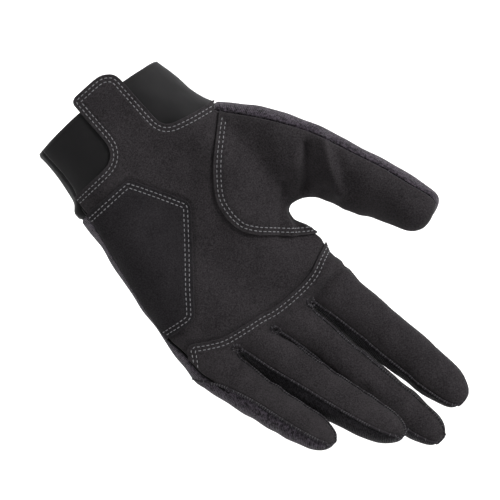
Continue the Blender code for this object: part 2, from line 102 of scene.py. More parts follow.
FINGERS = (
    {"name": "little", "length": 0.682, "breadth": 0.97, "depth": 0.97, "side": 0.176,
     "sweep": 1.35, "curl": 0.372, "hook": 1.2, "roll": 30, "edge": 46,
     "fill_left": 0.05, "fill_right": 0.05, "fill_end": 0.9},
    {"name": "ring", "length": 0.888, "breadth": 1.00, "depth": 1.00, "side": 0.233,
     "sweep": 1.45, "curl": 0.395, "hook": 1.5, "roll": 22, "edge": 46,
     "fill_left": 0.18, "fill_right": 0.00, "fill_end": 1.0},
    {"name": "middle", "length": 1.012, "breadth": 0.98, "depth": 1.00, "side": 0.150,
     "sweep": 1.30, "curl": 0.174, "hook": 1.5, "roll": 4, "edge": 46,
     "fill_left": 0.00, "fill_right": 0.09, "fill_end": 1.0},
    {"name": "index", "length": 0.948, "breadth": 1.04, "depth": 1.00, "side": 0.126,
     "sweep": 1.00, "curl": 0.105, "hook": 1.5, "roll": 0, "edge": 50,
     "fill_left": 0.17, "fill_right": 0.00, "fill_end": 0.8},
)
FRONT_SIDE_EDGE = 62
BACK_EDGE = 135
FILL_START = 0.25
LEFT_SIDE = (6, 7)
RIGHT_SIDE = (3, 4)
ROLL_IN = 0.4
FINGER_SECTIONS = (
    {"station": 0.13, "breadth": 1.03, "depth": 1.10},
    {"station": 0.27, "breadth": 1.00, "depth": 1.03},
    {"station": 0.42, "breadth": 0.99, "depth": 1.00},
    {"station": 0.57, "breadth": 0.98, "depth": 0.98},
    {"station": 0.72, "breadth": 0.97, "depth": 0.93},
    {"station": 0.86, "breadth": 0.90, "depth": 0.82},
    {"station": 0.96, "breadth": 0.68, "depth": 0.60},
    {"station": 1.00, "breadth": 0.34, "depth": 0.30},
)
PALM_RINGS = (
    {"down": -0.095, "left": -0.410, "right": 0.402, "front": 0.72, "back": 0.70,
     "ball": 0.00, "heel": 0.00, "hollow": 0.00},
    {"down": -0.030, "left": -0.412, "right": 0.402, "front": 0.72, "back": 0.70,
     "ball": 0.00, "heel": 0.00, "hollow": 0.00},
    {"down": 0.110, "left": -0.406, "right": 0.428, "front": 0.70, "back": 0.68,
     "ball": 0.00, "heel": 0.02, "hollow": 0.00},
    {"down": 0.200, "left": -0.438, "right": 0.448, "front": 0.68, "back": 0.66,
     "ball": 0.03, "heel": 0.05, "hollow": 0.02},
    {"down": 0.275, "left": -0.480, "right": 0.470, "front": 0.66, "back": 0.64,
     "ball": 0.10, "heel": 0.10, "hollow": 0.04},
    {"down": 0.390, "left": -0.482, "right": 0.470, "front": 0.62, "back": 0.60,
     "ball": 0.20, "heel": 0.14, "hollow": 0.08},
    {"down": 0.510, "left": -0.511, "right": 0.462, "front": 0.57, "back": 0.57,
     "ball": 0.24, "heel": 0.14, "hollow": 0.10},
    {"down": 0.640, "left": -0.543, "right": 0.450, "front": 0.53, "back": 0.54,
     "ball": 0.20, "heel": 0.12, "hollow": 0.11},
    {"down": 0.770, "left": -0.562, "right": 0.380, "front": 0.50, "back": 0.52,
     "ball": 0.10, "heel": 0.10, "hollow": 0.09},
    {"down": 0.885, "left": -0.582, "right": 0.404, "front": 0.48, "back": 0.50,
     "ball": 0.03, "heel": 0.08, "hollow": 0.04},
    {"down": 0.985, "left": -0.594, "right": 0.420, "front": 0.46, "back": 0.48,
     "ball": 0.00, "heel": 0.08, "hollow": 0.00},
)
CUFF_EDGE, CUFF_END, THUMB_END, FINGER_SEAM = 1, 4, 8, 10
FULL_DEPTH = 0.77
COLUMNS = (-0.94, -0.69, -0.43, -0.22, -0.014, 0.22, 0.455, 0.71, 0.95)
SQUARENESS = 2.6
BALL = {"at": 0.80, "spread": 0.34}
HEEL = {"at": -0.72, "spread": 0.36}
HOLLOW = {"at": 0.02, "spread": 0.36}
SEAM_ARCH = (-0.060, -0.018, 0.004, 0.018, 0.032, 0.033, 0.028, 0.002, -0.024)
EDGE_ARCH = (0.000, -0.006, -0.010, -0.010, -0.006, 0.008, 0.024, 0.034, 0.044)
BACK_ARCH = (-0.010, -0.008, -0.004, 0.002, 0.010, 0.018, 0.028, 0.038, 0.046)
WEBS = (
    {"down": 1.070, "across": -0.586, "forward": 0.20},
    {"down": 1.027, "across": -0.296, "forward": 0.15},
    {"down": 1.079, "across": -0.090, "forward": 0.08},
    {"down": 1.091, "across": 0.143, "forward": 0.04},
    {"down": 1.085, "across": 0.412, "forward": 0.00},
)
WEB_DEPTH = {"between": 0.34, "finger": 0.42}
CROTCH_DROP = 0.026
PALM_SIDE = 36 * MM
THUMB_SECTIONS = (
    {"out_across": 0.350, "out_down": 0.104, "in_across": 0.125, "in_down": 0.548,
     "forward": 0.16, "depth": 1.34},
    {"out_across": 0.520, "out_down": 0.246, "in_across": 0.248, "in_down": 0.632,
     "forward": 0.22, "depth": 1.18},
    {"out_across": 0.662, "out_down": 0.362, "in_across": 0.345, "in_down": 0.716,
     "forward": 0.28, "depth": 1.05},
    {"out_across": 0.750, "out_down": 0.500, "in_across": 0.440, "in_down": 0.808,
     "forward": 0.33, "depth": 1.00},
    {"out_across": 0.856, "out_down": 0.622, "in_across": 0.532, "in_down": 0.884,
     "forward": 0.38, "depth": 1.00},
    {"out_across": 0.940, "out_down": 0.752, "in_across": 0.606, "in_down": 0.948,
     "forward": 0.42, "depth": 0.96},
    {"out_across": 1.018, "out_down": 0.874, "in_across": 0.668, "in_down": 0.976,
     "forward": 0.45, "depth": 0.84},
    {"out_across": 1.018, "out_down": 0.944, "in_across": 0.756, "in_down": 0.990,
     "forward": 0.46, "depth": 0.50},
)
THUMB_ROLL = 24
THUMB_STEPS = (0, 26, 56, 90, 124, 156, 184, 212, 240, 270, 300, 330)
ZONES = ("spare", "tab", "cuff_front", "cuff_back", "palm", "back", "thumb_front",
         "thumb_back", "fingers_front", "fourchette_0", "fourchette_1", "fourchette_2")
FRONT_ZONES = ("tab", "cuff_front", "palm", "fingers_front")
print("sizes:", [finger["name"] for finger in FINGERS], len(PALM_RINGS), "palm rings,",
      len(THUMB_SECTIONS), "thumb sections")


# %% [markdown]
# ## The cage
# The form is a coarse cage of quads with a zone written on each face, made smooth by
# Subdivision Surface. A cage keeps the branching of a hand simple: the palm's ring splits
# between the fingers at the crotches, and the thumb grows out of a hole in its side. Each
# face also carries how far it lies round and along the hand, which the knit follows. First
# come the rules that place the points of a ring, for the palm, a finger and the thumb.

# %% Points of the cage
STATION_STEP = 0.01


def cage_scale(sides):
    """Return how much larger a cage ring is than the smooth ring that it makes."""
    return 3.0 / (2.0 + math.cos(2.0 * math.pi / sides))


def depth_scale(down):
    """Return the depth of the form, which narrows from the wrist's to the hand's."""
    wrist = WRIST_DEPTH / (PALM_RINGS[0]["front"] + PALM_RINGS[0]["back"])
    fade = min(max(down / FULL_DEPTH, 0.0), 1.0)
    return wrist + (HAND_DEPTH - wrist) * fade


def hill(share, place):
    """Return the height, up to 1, of a soft hill across the palm."""
    return math.exp(-((share - place["at"]) / place["spread"]) ** 2)


def ring_point(ring, share, side, arch=0.0):
    """Return a place on a wrist or palm ring. side is 1 in front, -1 behind, 0 between."""
    middle = (ring["left"] + ring["right"]) / 2 * HAND_BREADTH
    half = (ring["right"] - ring["left"]) / 2 * HAND_BREADTH
    height = max(1 - abs(share) ** SQUARENESS, 0.0) ** (1 / SQUARENESS)
    if side > 0:
        relief = ring["ball"] * hill(share, BALL) + ring["heel"] * hill(share, HEEL)
        deep = -(ring["front"] * height + relief - ring["hollow"] * hill(share, HOLLOW))
    else:
        deep = -side * ring["back"] * height
    down = (ring["down"] + arch) * PALM_LENGTH
    return Vector((middle + share * half, deep * depth_scale(ring["down"]), -down))


def finger_place(finger, root, station):
    """Return a place on a finger's middle line, from 0 at its root to 1 at its tip."""
    side = finger["side"] * station ** finger["sweep"]
    forward = finger["curl"] * station ** finger["hook"]
    return root + Vector((side, -forward, -finger["length"] * station)) * FINGER_LENGTH


def finger_turns(finger):
    """Return the degrees at which the eight points of a finger's ring stand."""
    left, right_edge = -finger["edge"], FRONT_SIDE_EDGE
    return (left, (left + right_edge) / 2, right_edge, (right_edge + BACK_EDGE) / 2,
            BACK_EDGE, 180, -BACK_EDGE, (left - BACK_EDGE) / 2)


def finger_ring(finger, root, section):
    """Return the eight cage points of one section, front seam first, round to the side."""
    station = section["station"]
    ahead = finger_place(finger, root, station)
    ahead -= finger_place(finger, root, station - STATION_STEP)
    ahead.normalize()
    across = Vector((1, 0, 0))
    across -= ahead * across.dot(ahead)
    across.normalize()
    front = ahead.cross(across)
    roll = math.radians(finger["roll"]) * min(station / ROLL_IN, 1.0)
    rolled_front = front * math.cos(roll) + across * math.sin(roll)
    rolled_across = across * math.cos(roll) - front * math.sin(roll)
    scale = cage_scale(FINGER_POINTS) / 2
    half = finger["breadth"] * FINGER_BREADTH * section["breadth"] * scale
    deep = finger["depth"] * FINGER_DEPTH * section["depth"] * scale
    middle = finger_place(finger, root, station)
    fade = (finger["fill_end"] - station) / (finger["fill_end"] - FILL_START)
    swell = FINGER_BREADTH * min(max(fade, 0.0), 1.0)
    points = []
    for n, turn in enumerate(finger_turns(finger)):
        angle = math.radians(turn)
        wide = half * math.sin(angle)
        if n in LEFT_SIDE:
            wide -= finger["fill_left"] * swell
        if n in RIGHT_SIDE:
            wide += finger["fill_right"] * swell
        points.append(middle + rolled_across * wide + rolled_front * deep * math.cos(angle))
    return points


def thumb_ring(section):
    """Return the twelve cage points of one thumb section, outer edge first, front next."""
    top = PALM_RINGS[CUFF_END]["down"] * PALM_LENGTH
    forward = -section["forward"] * THUMB_DEPTH

    def edge(name):
        across = PALM_SIDE + section[name + "_across"] * THUMB_REACH
        return Vector((across, forward, -top - section[name + "_down"] * THUMB_LENGTH))

    outer, inner = edge("out"), edge("in")
    middle = (outer + inner) / 2
    scale = cage_scale(len(THUMB_STEPS)) / 2
    half = (outer - inner).length * scale
    deep = section["depth"] * THUMB_DEPTH * scale
    out = (outer - inner).normalized()
    front = Vector((0, -1, 0))
    roll = math.radians(THUMB_ROLL)
    rolled_out = out * math.cos(roll) + front * math.sin(roll)
    rolled_front = front * math.cos(roll) - out * math.sin(roll)
    points = []
    for turn in THUMB_STEPS:
        angle = math.radians(turn)
        points.append(middle + rolled_out * half * math.cos(angle)
                      + rolled_front * deep * math.sin(angle))
    return points


print("a ring of eight points stands", round(cage_scale(FINGER_POINTS), 3), "times outside its form")

# %% [markdown]
# The points are then joined, row by row, by bands of quads. A band goes once round a ring and
# names the zone of each face. The rings of the palm, of a finger and of the thumb have
# different numbers of points, so each has its own short function.

# %% Faces of the cage
EDGE_WRAP = HAND_DEPTH / 3
WEB_NARROWING = 0.955
THUMB_RADIUS = THUMB_DEPTH * 0.6


class Cage:
    """The coarse cage of the hand form. front, behind and thumb hold each point's place
    round and along the hand, for the front zones, the other zones and the thumb."""

    def __init__(self):
        self.mesh = bmesh.new()
        self.uv = self.mesh.loops.layers.uv.new("cloth")
        self.points = {}
        self.front = {}
        self.behind = {}
        self.thumb = {}

    def point(self, key, place, front=None, behind=None):
        """Add a point. front and behind say where it lies on the cloth, if not below itself."""
        self.points[key] = self.mesh.verts.new(place)
        self.front[key] = front or (place.x, -place.z)
        self.behind[key] = behind or (place.x, -place.z)

    def face(self, zone, keys):
        """Add a face with its zone and its corners' places on the cloth."""
        face = self.mesh.faces.new([self.points[key] for key in keys])
        face.material_index = ZONES.index(zone)
        table = self.front if zone in FRONT_ZONES else self.behind
        if zone.startswith("thumb"):
            table = self.thumb
        for loop, key in zip(face.loops, keys):
            loop[self.uv].uv = table[key]

    def band(self, upper, lower, zones):
        """Join two rings by quads, one for each zone, and leave a hole where it is None."""
        count = len(upper)
        for i, zone in enumerate(zones):
            if zone:
                j = (i + 1) % count
                self.face(zone, (upper[i], lower[i], lower[j], upper[j]))


def palm_keys(row):
    """Return the keys of one palm ring: front, thumb's side, back, little finger's side."""
    last = len(COLUMNS)
    front = [("front", row, i) for i in range(last)]
    behind = [("back", row, i) for i in reversed(range(last))]
    return front + [("side", row, 1)] + behind + [("side", row, 0)]


def palm_zones(row):
    """Return the zones of the faces between one palm ring and the next, None for a hole."""
    gaps = len(COLUMNS) - 1
    if row < CUFF_EDGE:
        return ["tab"] * gaps + ["spare"] * (gaps + 4)
    if row < CUFF_END:
        return ["cuff_front"] * (gaps + 1) + ["cuff_back"] * (gaps + 3)
    side = [None, None] if row < THUMB_END else ["palm", "back"]
    return ["palm"] * gaps + side + ["back"] * (gaps + 1) + ["palm"]


def add_palm(cage):
    """Add the rings from the wrist to the finger seam, with a hole where the thumb grows."""
    for row, ring in enumerate(PALM_RINGS):
        level = [0.0] * len(COLUMNS)
        arches = {CUFF_EDGE: EDGE_ARCH, FINGER_SEAM: SEAM_ARCH}.get(row, level)
        back_arches = BACK_ARCH if row == CUFF_EDGE else level
        for i, share in enumerate(COLUMNS):
            cage.point(("front", row, i), ring_point(ring, share, 1, arches[i]))
            cage.point(("back", row, i), ring_point(ring, share, -1, back_arches[i]))
        for side, share in ((0, -1.0), (1, 1.0)):
            if side and CUFF_END < row < THUMB_END:
                continue
            place = ring_point(ring, share, 0, arches[-1] if side else 0.0)
            round_edge = (place.x + share * EDGE_WRAP, -place.z)
            cage.point(("side", row, side), place, round_edge, round_edge)
    for row in range(FINGER_SEAM):
        cage.band(palm_keys(row), palm_keys(row + 1), palm_zones(row))


def add_webs(cage):
    """Add the ring at the fingers' roots and the points of the crotches between them."""
    row = FINGER_SEAM + 1
    for i in range(len(COLUMNS)):
        near = (WEBS[i // 2], WEBS[(i + 1) // 2])
        down = (near[0]["down"] + near[1]["down"]) / 2 * PALM_LENGTH
        across = (near[0]["across"] + near[1]["across"]) / 2 * HAND_BREADTH
        forward = (near[0]["forward"] + near[1]["forward"]) / 2 * HAND_DEPTH
        deep = WEB_DEPTH["finger" if i % 2 else "between"] * HAND_DEPTH
        if i in (0, len(COLUMNS) - 1):
            across *= WEB_NARROWING
        cage.point(("front", row, i), Vector((across, -forward - deep, -down)))
        cage.point(("back", row, i), Vector((across, -forward + deep, -down)))
    for k, web in enumerate(WEBS):
        inner = 0 < k < len(WEBS) - 1
        down = (web["down"] + (CROTCH_DROP if inner else 0.0)) * PALM_LENGTH
        place = Vector((web["across"] * HAND_BREADTH, -web["forward"] * HAND_DEPTH, -down))
        cage.point(("web", k), place)
    upper, lower = palm_keys(FINGER_SEAM), palm_keys(row)
    last = len(COLUMNS)
    lower[last] = ("web", len(WEBS) - 1)
    lower[-1] = ("web", 0)
    cage.band(upper, lower, ["fingers_front"] * last + ["back"] * (last + 1) + [None])
    side, front = ("side", FINGER_SEAM, 0), ("front", FINGER_SEAM, 0)
    cage.face("fingers_front", (side, ("front", row, 0), front))
    cage.face("back", (side, ("web", 0), ("front", row, 0)))


def finger_root(k):
    """Return the keys round the opening that one finger grows from."""
    row = FINGER_SEAM + 1
    i = 2 * k
    return [("front", row, i), ("front", row, i + 1), ("front", row, i + 2), ("web", k + 1),
            ("back", row, i + 2), ("back", row, i + 1), ("back", row, i), ("web", k)]


def add_finger(cage, k):
    """Add a finger to the cage and return the middle of its root."""
    finger = FINGERS[k]
    above = finger_root(k)
    root = sum((cage.points[key].co for key in above), Vector()) / len(above)
    little, index = k == 0, k == len(FINGERS) - 1
    right_zones = ["fingers_front", "back"] if index else ["fourchette_%d" % k] * 2
    left_zones = ["back"] * 2 if little else ["fourchette_%d" % (k - 1)] * 2
    zones = ["fingers_front"] * 2 + right_zones + ["back"] * 2 + left_zones
    radius = (finger["breadth"] * FINGER_BREADTH + finger["depth"] * FINGER_DEPTH) / 4
    for j, section in enumerate(FINGER_SECTIONS):
        below = [("finger", k, j, n) for n in range(FINGER_POINTS)]
        along = -root.z + finger["length"] * FINGER_LENGTH * section["station"]
        for key, place, turn in zip(below, finger_ring(finger, root, section), finger_turns(finger)):
            front = root.x + radius * math.radians(turn)
            behind = root.x + math.copysign(radius * math.radians(180 - abs(turn)), turn)
            cage.point(key, place, (front, along), (behind, along))
        cage.band(above, below, zones)
        above = below
    cage.face("fingers_front", [above[n] for n in (3, 2, 1, 0, 7)])
    cage.face("back", [above[n] for n in (7, 6, 5, 4, 3)])
    return root


def add_thumb(cage):
    """Add the thumb, from the hole in the palm's side to its tip."""
    rows = range(CUFF_END, THUMB_END + 1)
    last = len(COLUMNS) - 1
    above = [("side", CUFF_END, 1)] + [("front", row, last) for row in rows]
    above += [("side", THUMB_END, 1)] + [("back", row, last) for row in reversed(rows)]
    zones = ["thumb_back"] + ["thumb_front"] * 5 + ["thumb_back"] * 6
    spacing = THUMB_LENGTH / len(THUMB_SECTIONS)

    def lay(keys, along):
        for key, turn in zip(keys, THUMB_STEPS):
            turned = turn + 360 if turn < THUMB_STEPS[2] else turn
            cage.thumb[key] = (THUMB_RADIUS * math.radians(turned), along)

    lay(above, 0.0)
    for j, section in enumerate(THUMB_SECTIONS):
        below = [("thumb", j, n) for n in range(len(THUMB_STEPS))]
        for key, place in zip(below, thumb_ring(section)):
            cage.point(key, place)
        lay(below, spacing * (j + 1))
        cage.band(above, below, zones)
        above = below
    cage.face("thumb_front", [above[n] for n in (6, 5, 4, 3, 2, 1)])
    cage.face("thumb_back", [above[n] for n in (1, 0, 11, 10, 9, 8, 7, 6)])


# %% [markdown]
# ## The smooth form
# Four levels of subdivision leave faces of under a millimetre, fine enough for a seam's
# ridge and a stitch's dimple. The cuff's back and the strips between the fingers need only
# three. Both forms are read into arrays, because the folds are worked out for all the points
# at once.

# %% Smooth form
cage = Cage()
add_palm(cage)
add_webs(cage)
finger_roots = [add_finger(cage, k) for k in range(len(FINGERS))]
add_thumb(cage)
bmesh.ops.recalc_face_normals(cage.mesh, faces=cage.mesh.faces)
cage_mesh = bpy.data.meshes.new("cage")
cage.mesh.to_mesh(cage_mesh)
print("cage:", len(cage_mesh.polygons), "faces")


def read(items, name, width, kind=np.float64):
    """Return one value of many points, faces or corners as an array."""
    values = np.empty(len(items) * width, dtype=kind)
    items.foreach_get(name, values)
    return values.reshape(-1, width) if width > 1 else values


def subdivided(levels):
    """Return the cage's smooth mesh at some level."""
    holder = bpy.data.objects.new("cage", cage_mesh)
    bpy.context.scene.collection.objects.link(holder)
    smooth = holder.modifiers.new("Smooth", "SUBSURF")
    smooth.levels = levels
    smooth.render_levels = levels
    graph = bpy.context.evaluated_depsgraph_get()
    mesh = bpy.data.meshes.new_from_object(holder.evaluated_get(graph))
    bpy.data.objects.remove(holder)
    return mesh


fine_mesh = subdivided(4)
plain_mesh = subdivided(3)
print("form:", len(fine_mesh.polygons), "fine faces,", len(plain_mesh.polygons), "plain ones")

# %% [markdown]
# ## Folds
# Cloth over a bent thumb and curled fingers creases at the joints. Each fold is a line on
# the palm side with a depth and a width, a valley where the depth is negative. Long, low
# waves keep the rest from looking moulded. Lines are given in millimetres, across from the
# wrist's middle and down from its opening.

# %% Folds
FOLDS = (
    {"name": "thumb joint valley", "depth": -2.3, "width": 2.6,
     "line": ((60, 76.5), (53.5, 83.5), (47, 91))},
    {"name": "thumb joint sharp edge", "depth": -2.0, "width": 1.5,
     "line": ((58.6, 76.5), (52, 83.5), (45.5, 91))},
    {"name": "thumb joint hollow", "depth": -2.3, "width": 3.4,
     "line": ((57, 84), (52, 91), (50, 97))},
    {"name": "thumb joint ridge", "depth": 2.1, "width": 2.6,
     "line": ((66.5, 80.5), (61, 92), (57, 103))},
    {"name": "thumb joint shadow", "depth": -1.0, "width": 3.0,
     "line": ((66, 90), (60, 101))},
    {"name": "crotch dimple", "depth": -1.3, "width": 1.8,
     "line": ((38.5, 83), (36.5, 87))},
    {"name": "crotch dent", "depth": -1.8, "width": 3.4,
     "line": ((34.5, 89), (33.5, 94.5))},
    {"name": "side bump", "depth": 1.7, "width": 5.5,
     "line": ((34.0, 106), (36.5, 113))},
    {"name": "side dent", "depth": -1.2, "width": 3.4,
     "line": ((35, 121.5), (36, 125))},
    {"name": "side bump below", "depth": 1.2, "width": 2.8,
     "line": ((34.5, 128.5), (36, 131))},
    {"name": "ball of the thumb", "depth": 1.0, "width": 9.0,
     "line": ((36, 60), (42, 74), (38, 84))},
    {"name": "crotch ridge", "depth": 1.4, "width": 1.4,
     "line": ((33.5, 92.5), (28.8, 98.5), (27.5, 103))},
    {"name": "crotch hollow", "depth": -1.5, "width": 2.4,
     "line": ((33.6, 99), (31.5, 104))},
    {"name": "crotch crease", "depth": -1.0, "width": 1.8,
     "line": ((29, 92.5), (24, 97), (22.5, 100.5))},
    {"name": "index root valley", "depth": -1.7, "width": 1.9,
     "line": ((38, 130.5), (31, 129.0), (23, 129.8), (15, 131.8))},
    {"name": "index root ridge", "depth": 0.9, "width": 2.4,
     "line": ((38, 126), (30, 125), (22, 126))},
    {"name": "index root lower ridge", "depth": 0.7, "width": 3.0,
     "line": ((36, 136), (27, 135.5), (19, 137))},
    {"name": "little finger root", "depth": -0.8, "width": 2.6,
     "line": ((-48, 128), (-38, 131), (-30, 130))},
    {"name": "palm crease", "depth": -0.5, "width": 4.5,
     "line": ((24, 112), (8, 108), (-12, 106), (-32, 104))},
    {"name": "wrist crease", "depth": -0.7, "width": 3.5,
     "line": ((-36, 30), (-20, 33), (0, 37), (20, 41))},
    {"name": "gathered seam", "depth": 2.2, "width": 3.0,
     "line": ((-46, 28), (-39, 29.5))},
)
WAVES = (
    {"length": 34, "angle": 20, "height": 0.22, "phase": 0.4},
    {"length": 23, "angle": 75, "height": 0.16, "phase": 1.9},
    {"length": 15, "angle": 130, "height": 0.10, "phase": 3.1},
    {"length": 11, "angle": 48, "height": 0.06, "phase": 5.0},
)
WAVE_LEAN = 0.6
JOINT_STATIONS = (0.36, 0.68)
JOINT_CREASE = {"depth": 0.45, "width": 2.6, "bow": 1, "reach": 0.75}
PALM_SIDE_START = 0.55
PALM_SIDE_SLOPE = 1.2


def line_distance(points, line):
    """Return each point's distance to an open line, all in the same units."""
    best = np.full(len(points), np.inf)
    for start, end in zip(line[:-1], line[1:]):
        start, end = np.array(start, float), np.array(end, float)
        run = end - start
        share = np.clip((points - start) @ run / (run @ run), 0, 1)
        best = np.minimum(best, np.linalg.norm(points - start - share[:, None] * run, axis=1))
    return best


def flat_places(co):
    """Return places across and down the hand, in mm."""
    return np.column_stack((co[:, 0], -co[:, 2])) / MM


def joint_creases(co, flat):
    """Return how deep the small creases at the finger joints are, in mm."""
    depth = np.zeros(len(co))
    for finger, root in zip(FINGERS, finger_roots):
        for station in JOINT_STATIONS:
            place = finger_place(finger, root, station) / MM
            half = finger["breadth"] * FINGER_BREADTH / MM / 2
            bow = JOINT_CREASE["bow"]
            line = ((place.x - half, -place.z - bow), (place.x, -place.z + bow),
                    (place.x + half, -place.z - bow))
            near = np.exp(-(line_distance(flat, line) / JOINT_CREASE["width"]) ** 2)
            away = np.linalg.norm(co - np.array(place) * MM, axis=1)
            depth += JOINT_CREASE["depth"] * near * (away < FINGER_BREADTH * JOINT_CREASE["reach"])
    return depth


def fold_height(co, no):
    """Return how far the folds and waves lift each point, in metres."""
    flat = flat_places(co)
    facing = np.clip(PALM_SIDE_START - no[:, 1] * PALM_SIDE_SLOPE, 0, 1)
    height = np.zeros(len(co))
    for fold in FOLDS:
        away = line_distance(flat, fold["line"]) / fold["width"]
        height += fold["depth"] * np.exp(-away ** 2) * facing
    height -= joint_creases(co, flat) * facing
    for wave in WAVES:
        angle = math.radians(wave["angle"])
        run = co[:, 0] * math.cos(angle) + co[:, 2] * math.sin(angle) + co[:, 1] * WAVE_LEAN
        height += wave["height"] * np.sin(run / MM * 2 * math.pi / wave["length"] + wave["phase"])
    return height * MM


def folded(mesh):
    """Fold a smooth mesh and return its points, normals, faces, zones and cloth places."""
    co = read(mesh.vertices, "co", 3)
    no = read(mesh.vertex_normals, "vector", 3)
    co = co + no * fold_height(co, no)[:, None]
    mesh.vertices.foreach_set("co", co.ravel())
    mesh.update()
    return {
        "co": co,
        "no": read(mesh.vertex_normals, "vector", 3),
        "quads": read(mesh.loops, "vertex_index", 1, np.int32).reshape(-1, 4),
        "zone": read(mesh.polygons, "material_index", 1, np.int32),
        "uv": read(mesh.uv_layers["cloth"].data, "uv", 2).reshape(-1, 4, 2),
    }


fine = folded(fine_mesh)
plain = folded(plain_mesh)
print("folds:", len(FOLDS))

# %% [markdown]
# ## Cutting lines
# The suede pieces are cut to outlines with rounded corners. Each outline is a few points
# from the photograph, in millimetres, joined by one smooth curve. Two more lines
# follow the seams where suede meets knit, along the thumb and along the little finger's
# side of the hand. Corners far outside the hand close each line into an area to cut with.

# %% Outlines
TAB_AND_SHOULDERS = (
    (-75, 24), (-50, 24), (-33, 24), (-18, 23.8), (-12.5, 22.6), (-9.2, 19.4), (-7.9, 15), (-7.6, 6),
    (-7.4, -4), (-7.0, -7.6), (-4.9, -9.3), (0, -9.5), (9, -9.3), (13.4, -7.4), (16.1, -3.8),
    (16.4, 4), (16.4, 20), (17.2, 25.4), (20, 28.4), (25, 30.2), (30.5, 31.6), (38, 33.0),
    (50, 35), (75, 36),
)
HEEL_LINE = (
    (-75, 33.4), (-50, 33.6), (-30, 33.9), (-15, 34.0), (-12, 34.6), (-10, 37.0), (-5, 46), (0.4, 56.4),
    (1.9, 59.6), (1.6, 62.6), (-1, 66), (-12, 79), (-22.4, 91), (-29.6, 99.8), (-31.6, 101.6),
    (-34.4, 102.2), (-40, 101.6), (-50, 100.0), (-75, 97),
)
THUMB_LINE = (
    (41.4, 38.2), (39, 39.9), (32, 45.8), (22, 55), (14.2, 64.4), (11, 71), (10, 79), (11.2, 86.4),
    (15.3, 92.5), (21.2, 98.3), (27, 103.8), (32, 107.8), (37, 110.8), (44, 113.4), (52, 114.8),
)
KNIT_LINE = (
    (30, 14), (36.5, 30), (40.8, 39.6), (48.4, 48.8), (56.1, 59.5), (63.7, 71.7), (67.8, 80.9),
    (72.5, 92.8), (77.2, 104.8), (81.9, 116.8), (85.6, 125.9), (87.4, 132.5), (89.5, 140),
    (92, 160),
)
FINGER_LINE = (
    (-75, 130), (-56, 123), (-49, 118), (-46, 114.2), (-43.6, 110.4), (-42, 109.3), (-40, 109.6),
    (-34, 113.4), (-27.2, 116.8), (-17, 118.9), (-8, 120.3), (-2.2, 121.8), (5, 122.4), (12, 122.5),
    (17, 122.2), (22.8, 121.2), (30.3, 118), (37, 115.3), (50, 109), (75, 98),
)
ULNAR_LINE = (
    (-35.5, 24), (-36.0, 30), (-36.5, 35.2), (-39.9, 53), (-43.5, 70.8), (-46.2, 87.2),
    (-47.4, 99.7), (-46.3, 109.4), (-46.2, 116.5), (-46.2, 121), (-44.8, 129), (-42.4, 137.8),
)
FAR_DOWN = 260
FAR_ASIDE = 75


def area_below(line):
    """Return the area between a line across the hand and a line far below the fingertips."""
    return np.vstack((line, ((FAR_ASIDE, FAR_DOWN), (-FAR_ASIDE, FAR_DOWN))))


def smooth_line(points, step=1.0):
    """Return a smooth curve through points, sampled about every step."""
    points = [np.array(p, float) for p in points]
    ends = [2 * points[0] - points[1]] + points + [2 * points[-1] - points[-2]]
    line = []
    for a, b, c, d in zip(ends[:-3], ends[1:-2], ends[2:-1], ends[3:]):
        count = max(int(np.linalg.norm(c - b) / step), 1)
        for t in np.arange(count) / count:
            line.append(0.5 * (2 * b + (c - a) * t + (2 * a - 5 * b + 4 * c - d) * t ** 2
                               + (3 * b - a - 3 * c + d) * t ** 3))
    return np.array(line + [points[-1]])


palm_line = smooth_line(TAB_AND_SHOULDERS)
heel_line = smooth_line(HEEL_LINE)
thumb_line = smooth_line(THUMB_LINE)
finger_line = smooth_line(FINGER_LINE)
palm_area = area_below(palm_line)
finger_area = area_below(finger_line)
knit_line = smooth_line(KNIT_LINE)
knit_start = int(np.argmin(np.linalg.norm(knit_line - thumb_line[0], axis=1)))
thumb_area = np.vstack((thumb_line, ((52, 180), (92, 180)), knit_line[knit_start:][::-1]))
ulnar_line = smooth_line(ULNAR_LINE)
ulnar_side = np.vstack((ulnar_line, ((-90, ulnar_line[-1][1]), (-90, ulnar_line[0][1]))))
thumb_side = np.vstack((((75, 12), (55, 28)), thumb_line, ((52, 300), (300, 300), (300, 12))))
inner_side = np.vstack((knit_line, ((92, 300), (-75, 300), (-75, 14))))


def inside_distance(flat, area):
    """Return each point's distance to a closed outline, positive inside."""
    best = np.full(len(flat), np.inf)
    inside = np.zeros(len(flat), bool)
    for start, end in zip(area, np.roll(area, -1, axis=0)):
        run = end - start
        share = np.clip((flat - start) @ run / max(run @ run, 1e-12), 0, 1)
        best = np.minimum(best, ((flat - start - share[:, None] * run) ** 2).sum(axis=1))
        crosses = (start[1] > flat[:, 1]) != (end[1] > flat[:, 1])
        if start[1] != end[1]:
            side = flat[:, 0] < run[0] * (flat[:, 1] - start[1]) / run[1] + start[0]
            inside ^= crosses & side
    return np.sqrt(best) * np.where(inside, 1, -1)


print("outlines:", len(palm_line), len(heel_line), len(thumb_line), len(finger_line), "points")

# %% [markdown]
# ## Open sheets
# Every panel starts as an open sheet: its zones are taken from the form and trimmed to its
# outline. Faces wholly outside an outline go first. A point close to the cutting line is
# then moved onto it, which leaves no slivers, and the faces that still cross the line are
# split. All panels use the normals of the whole form, so that two neighbours meet evenly.

# %% Open sheets
SNAP = 0.3
SLOPE_STEP = 0.05
LEAST_SLOPE = 0.2
LEAST_FACING = 0.3
FAR = 99.0


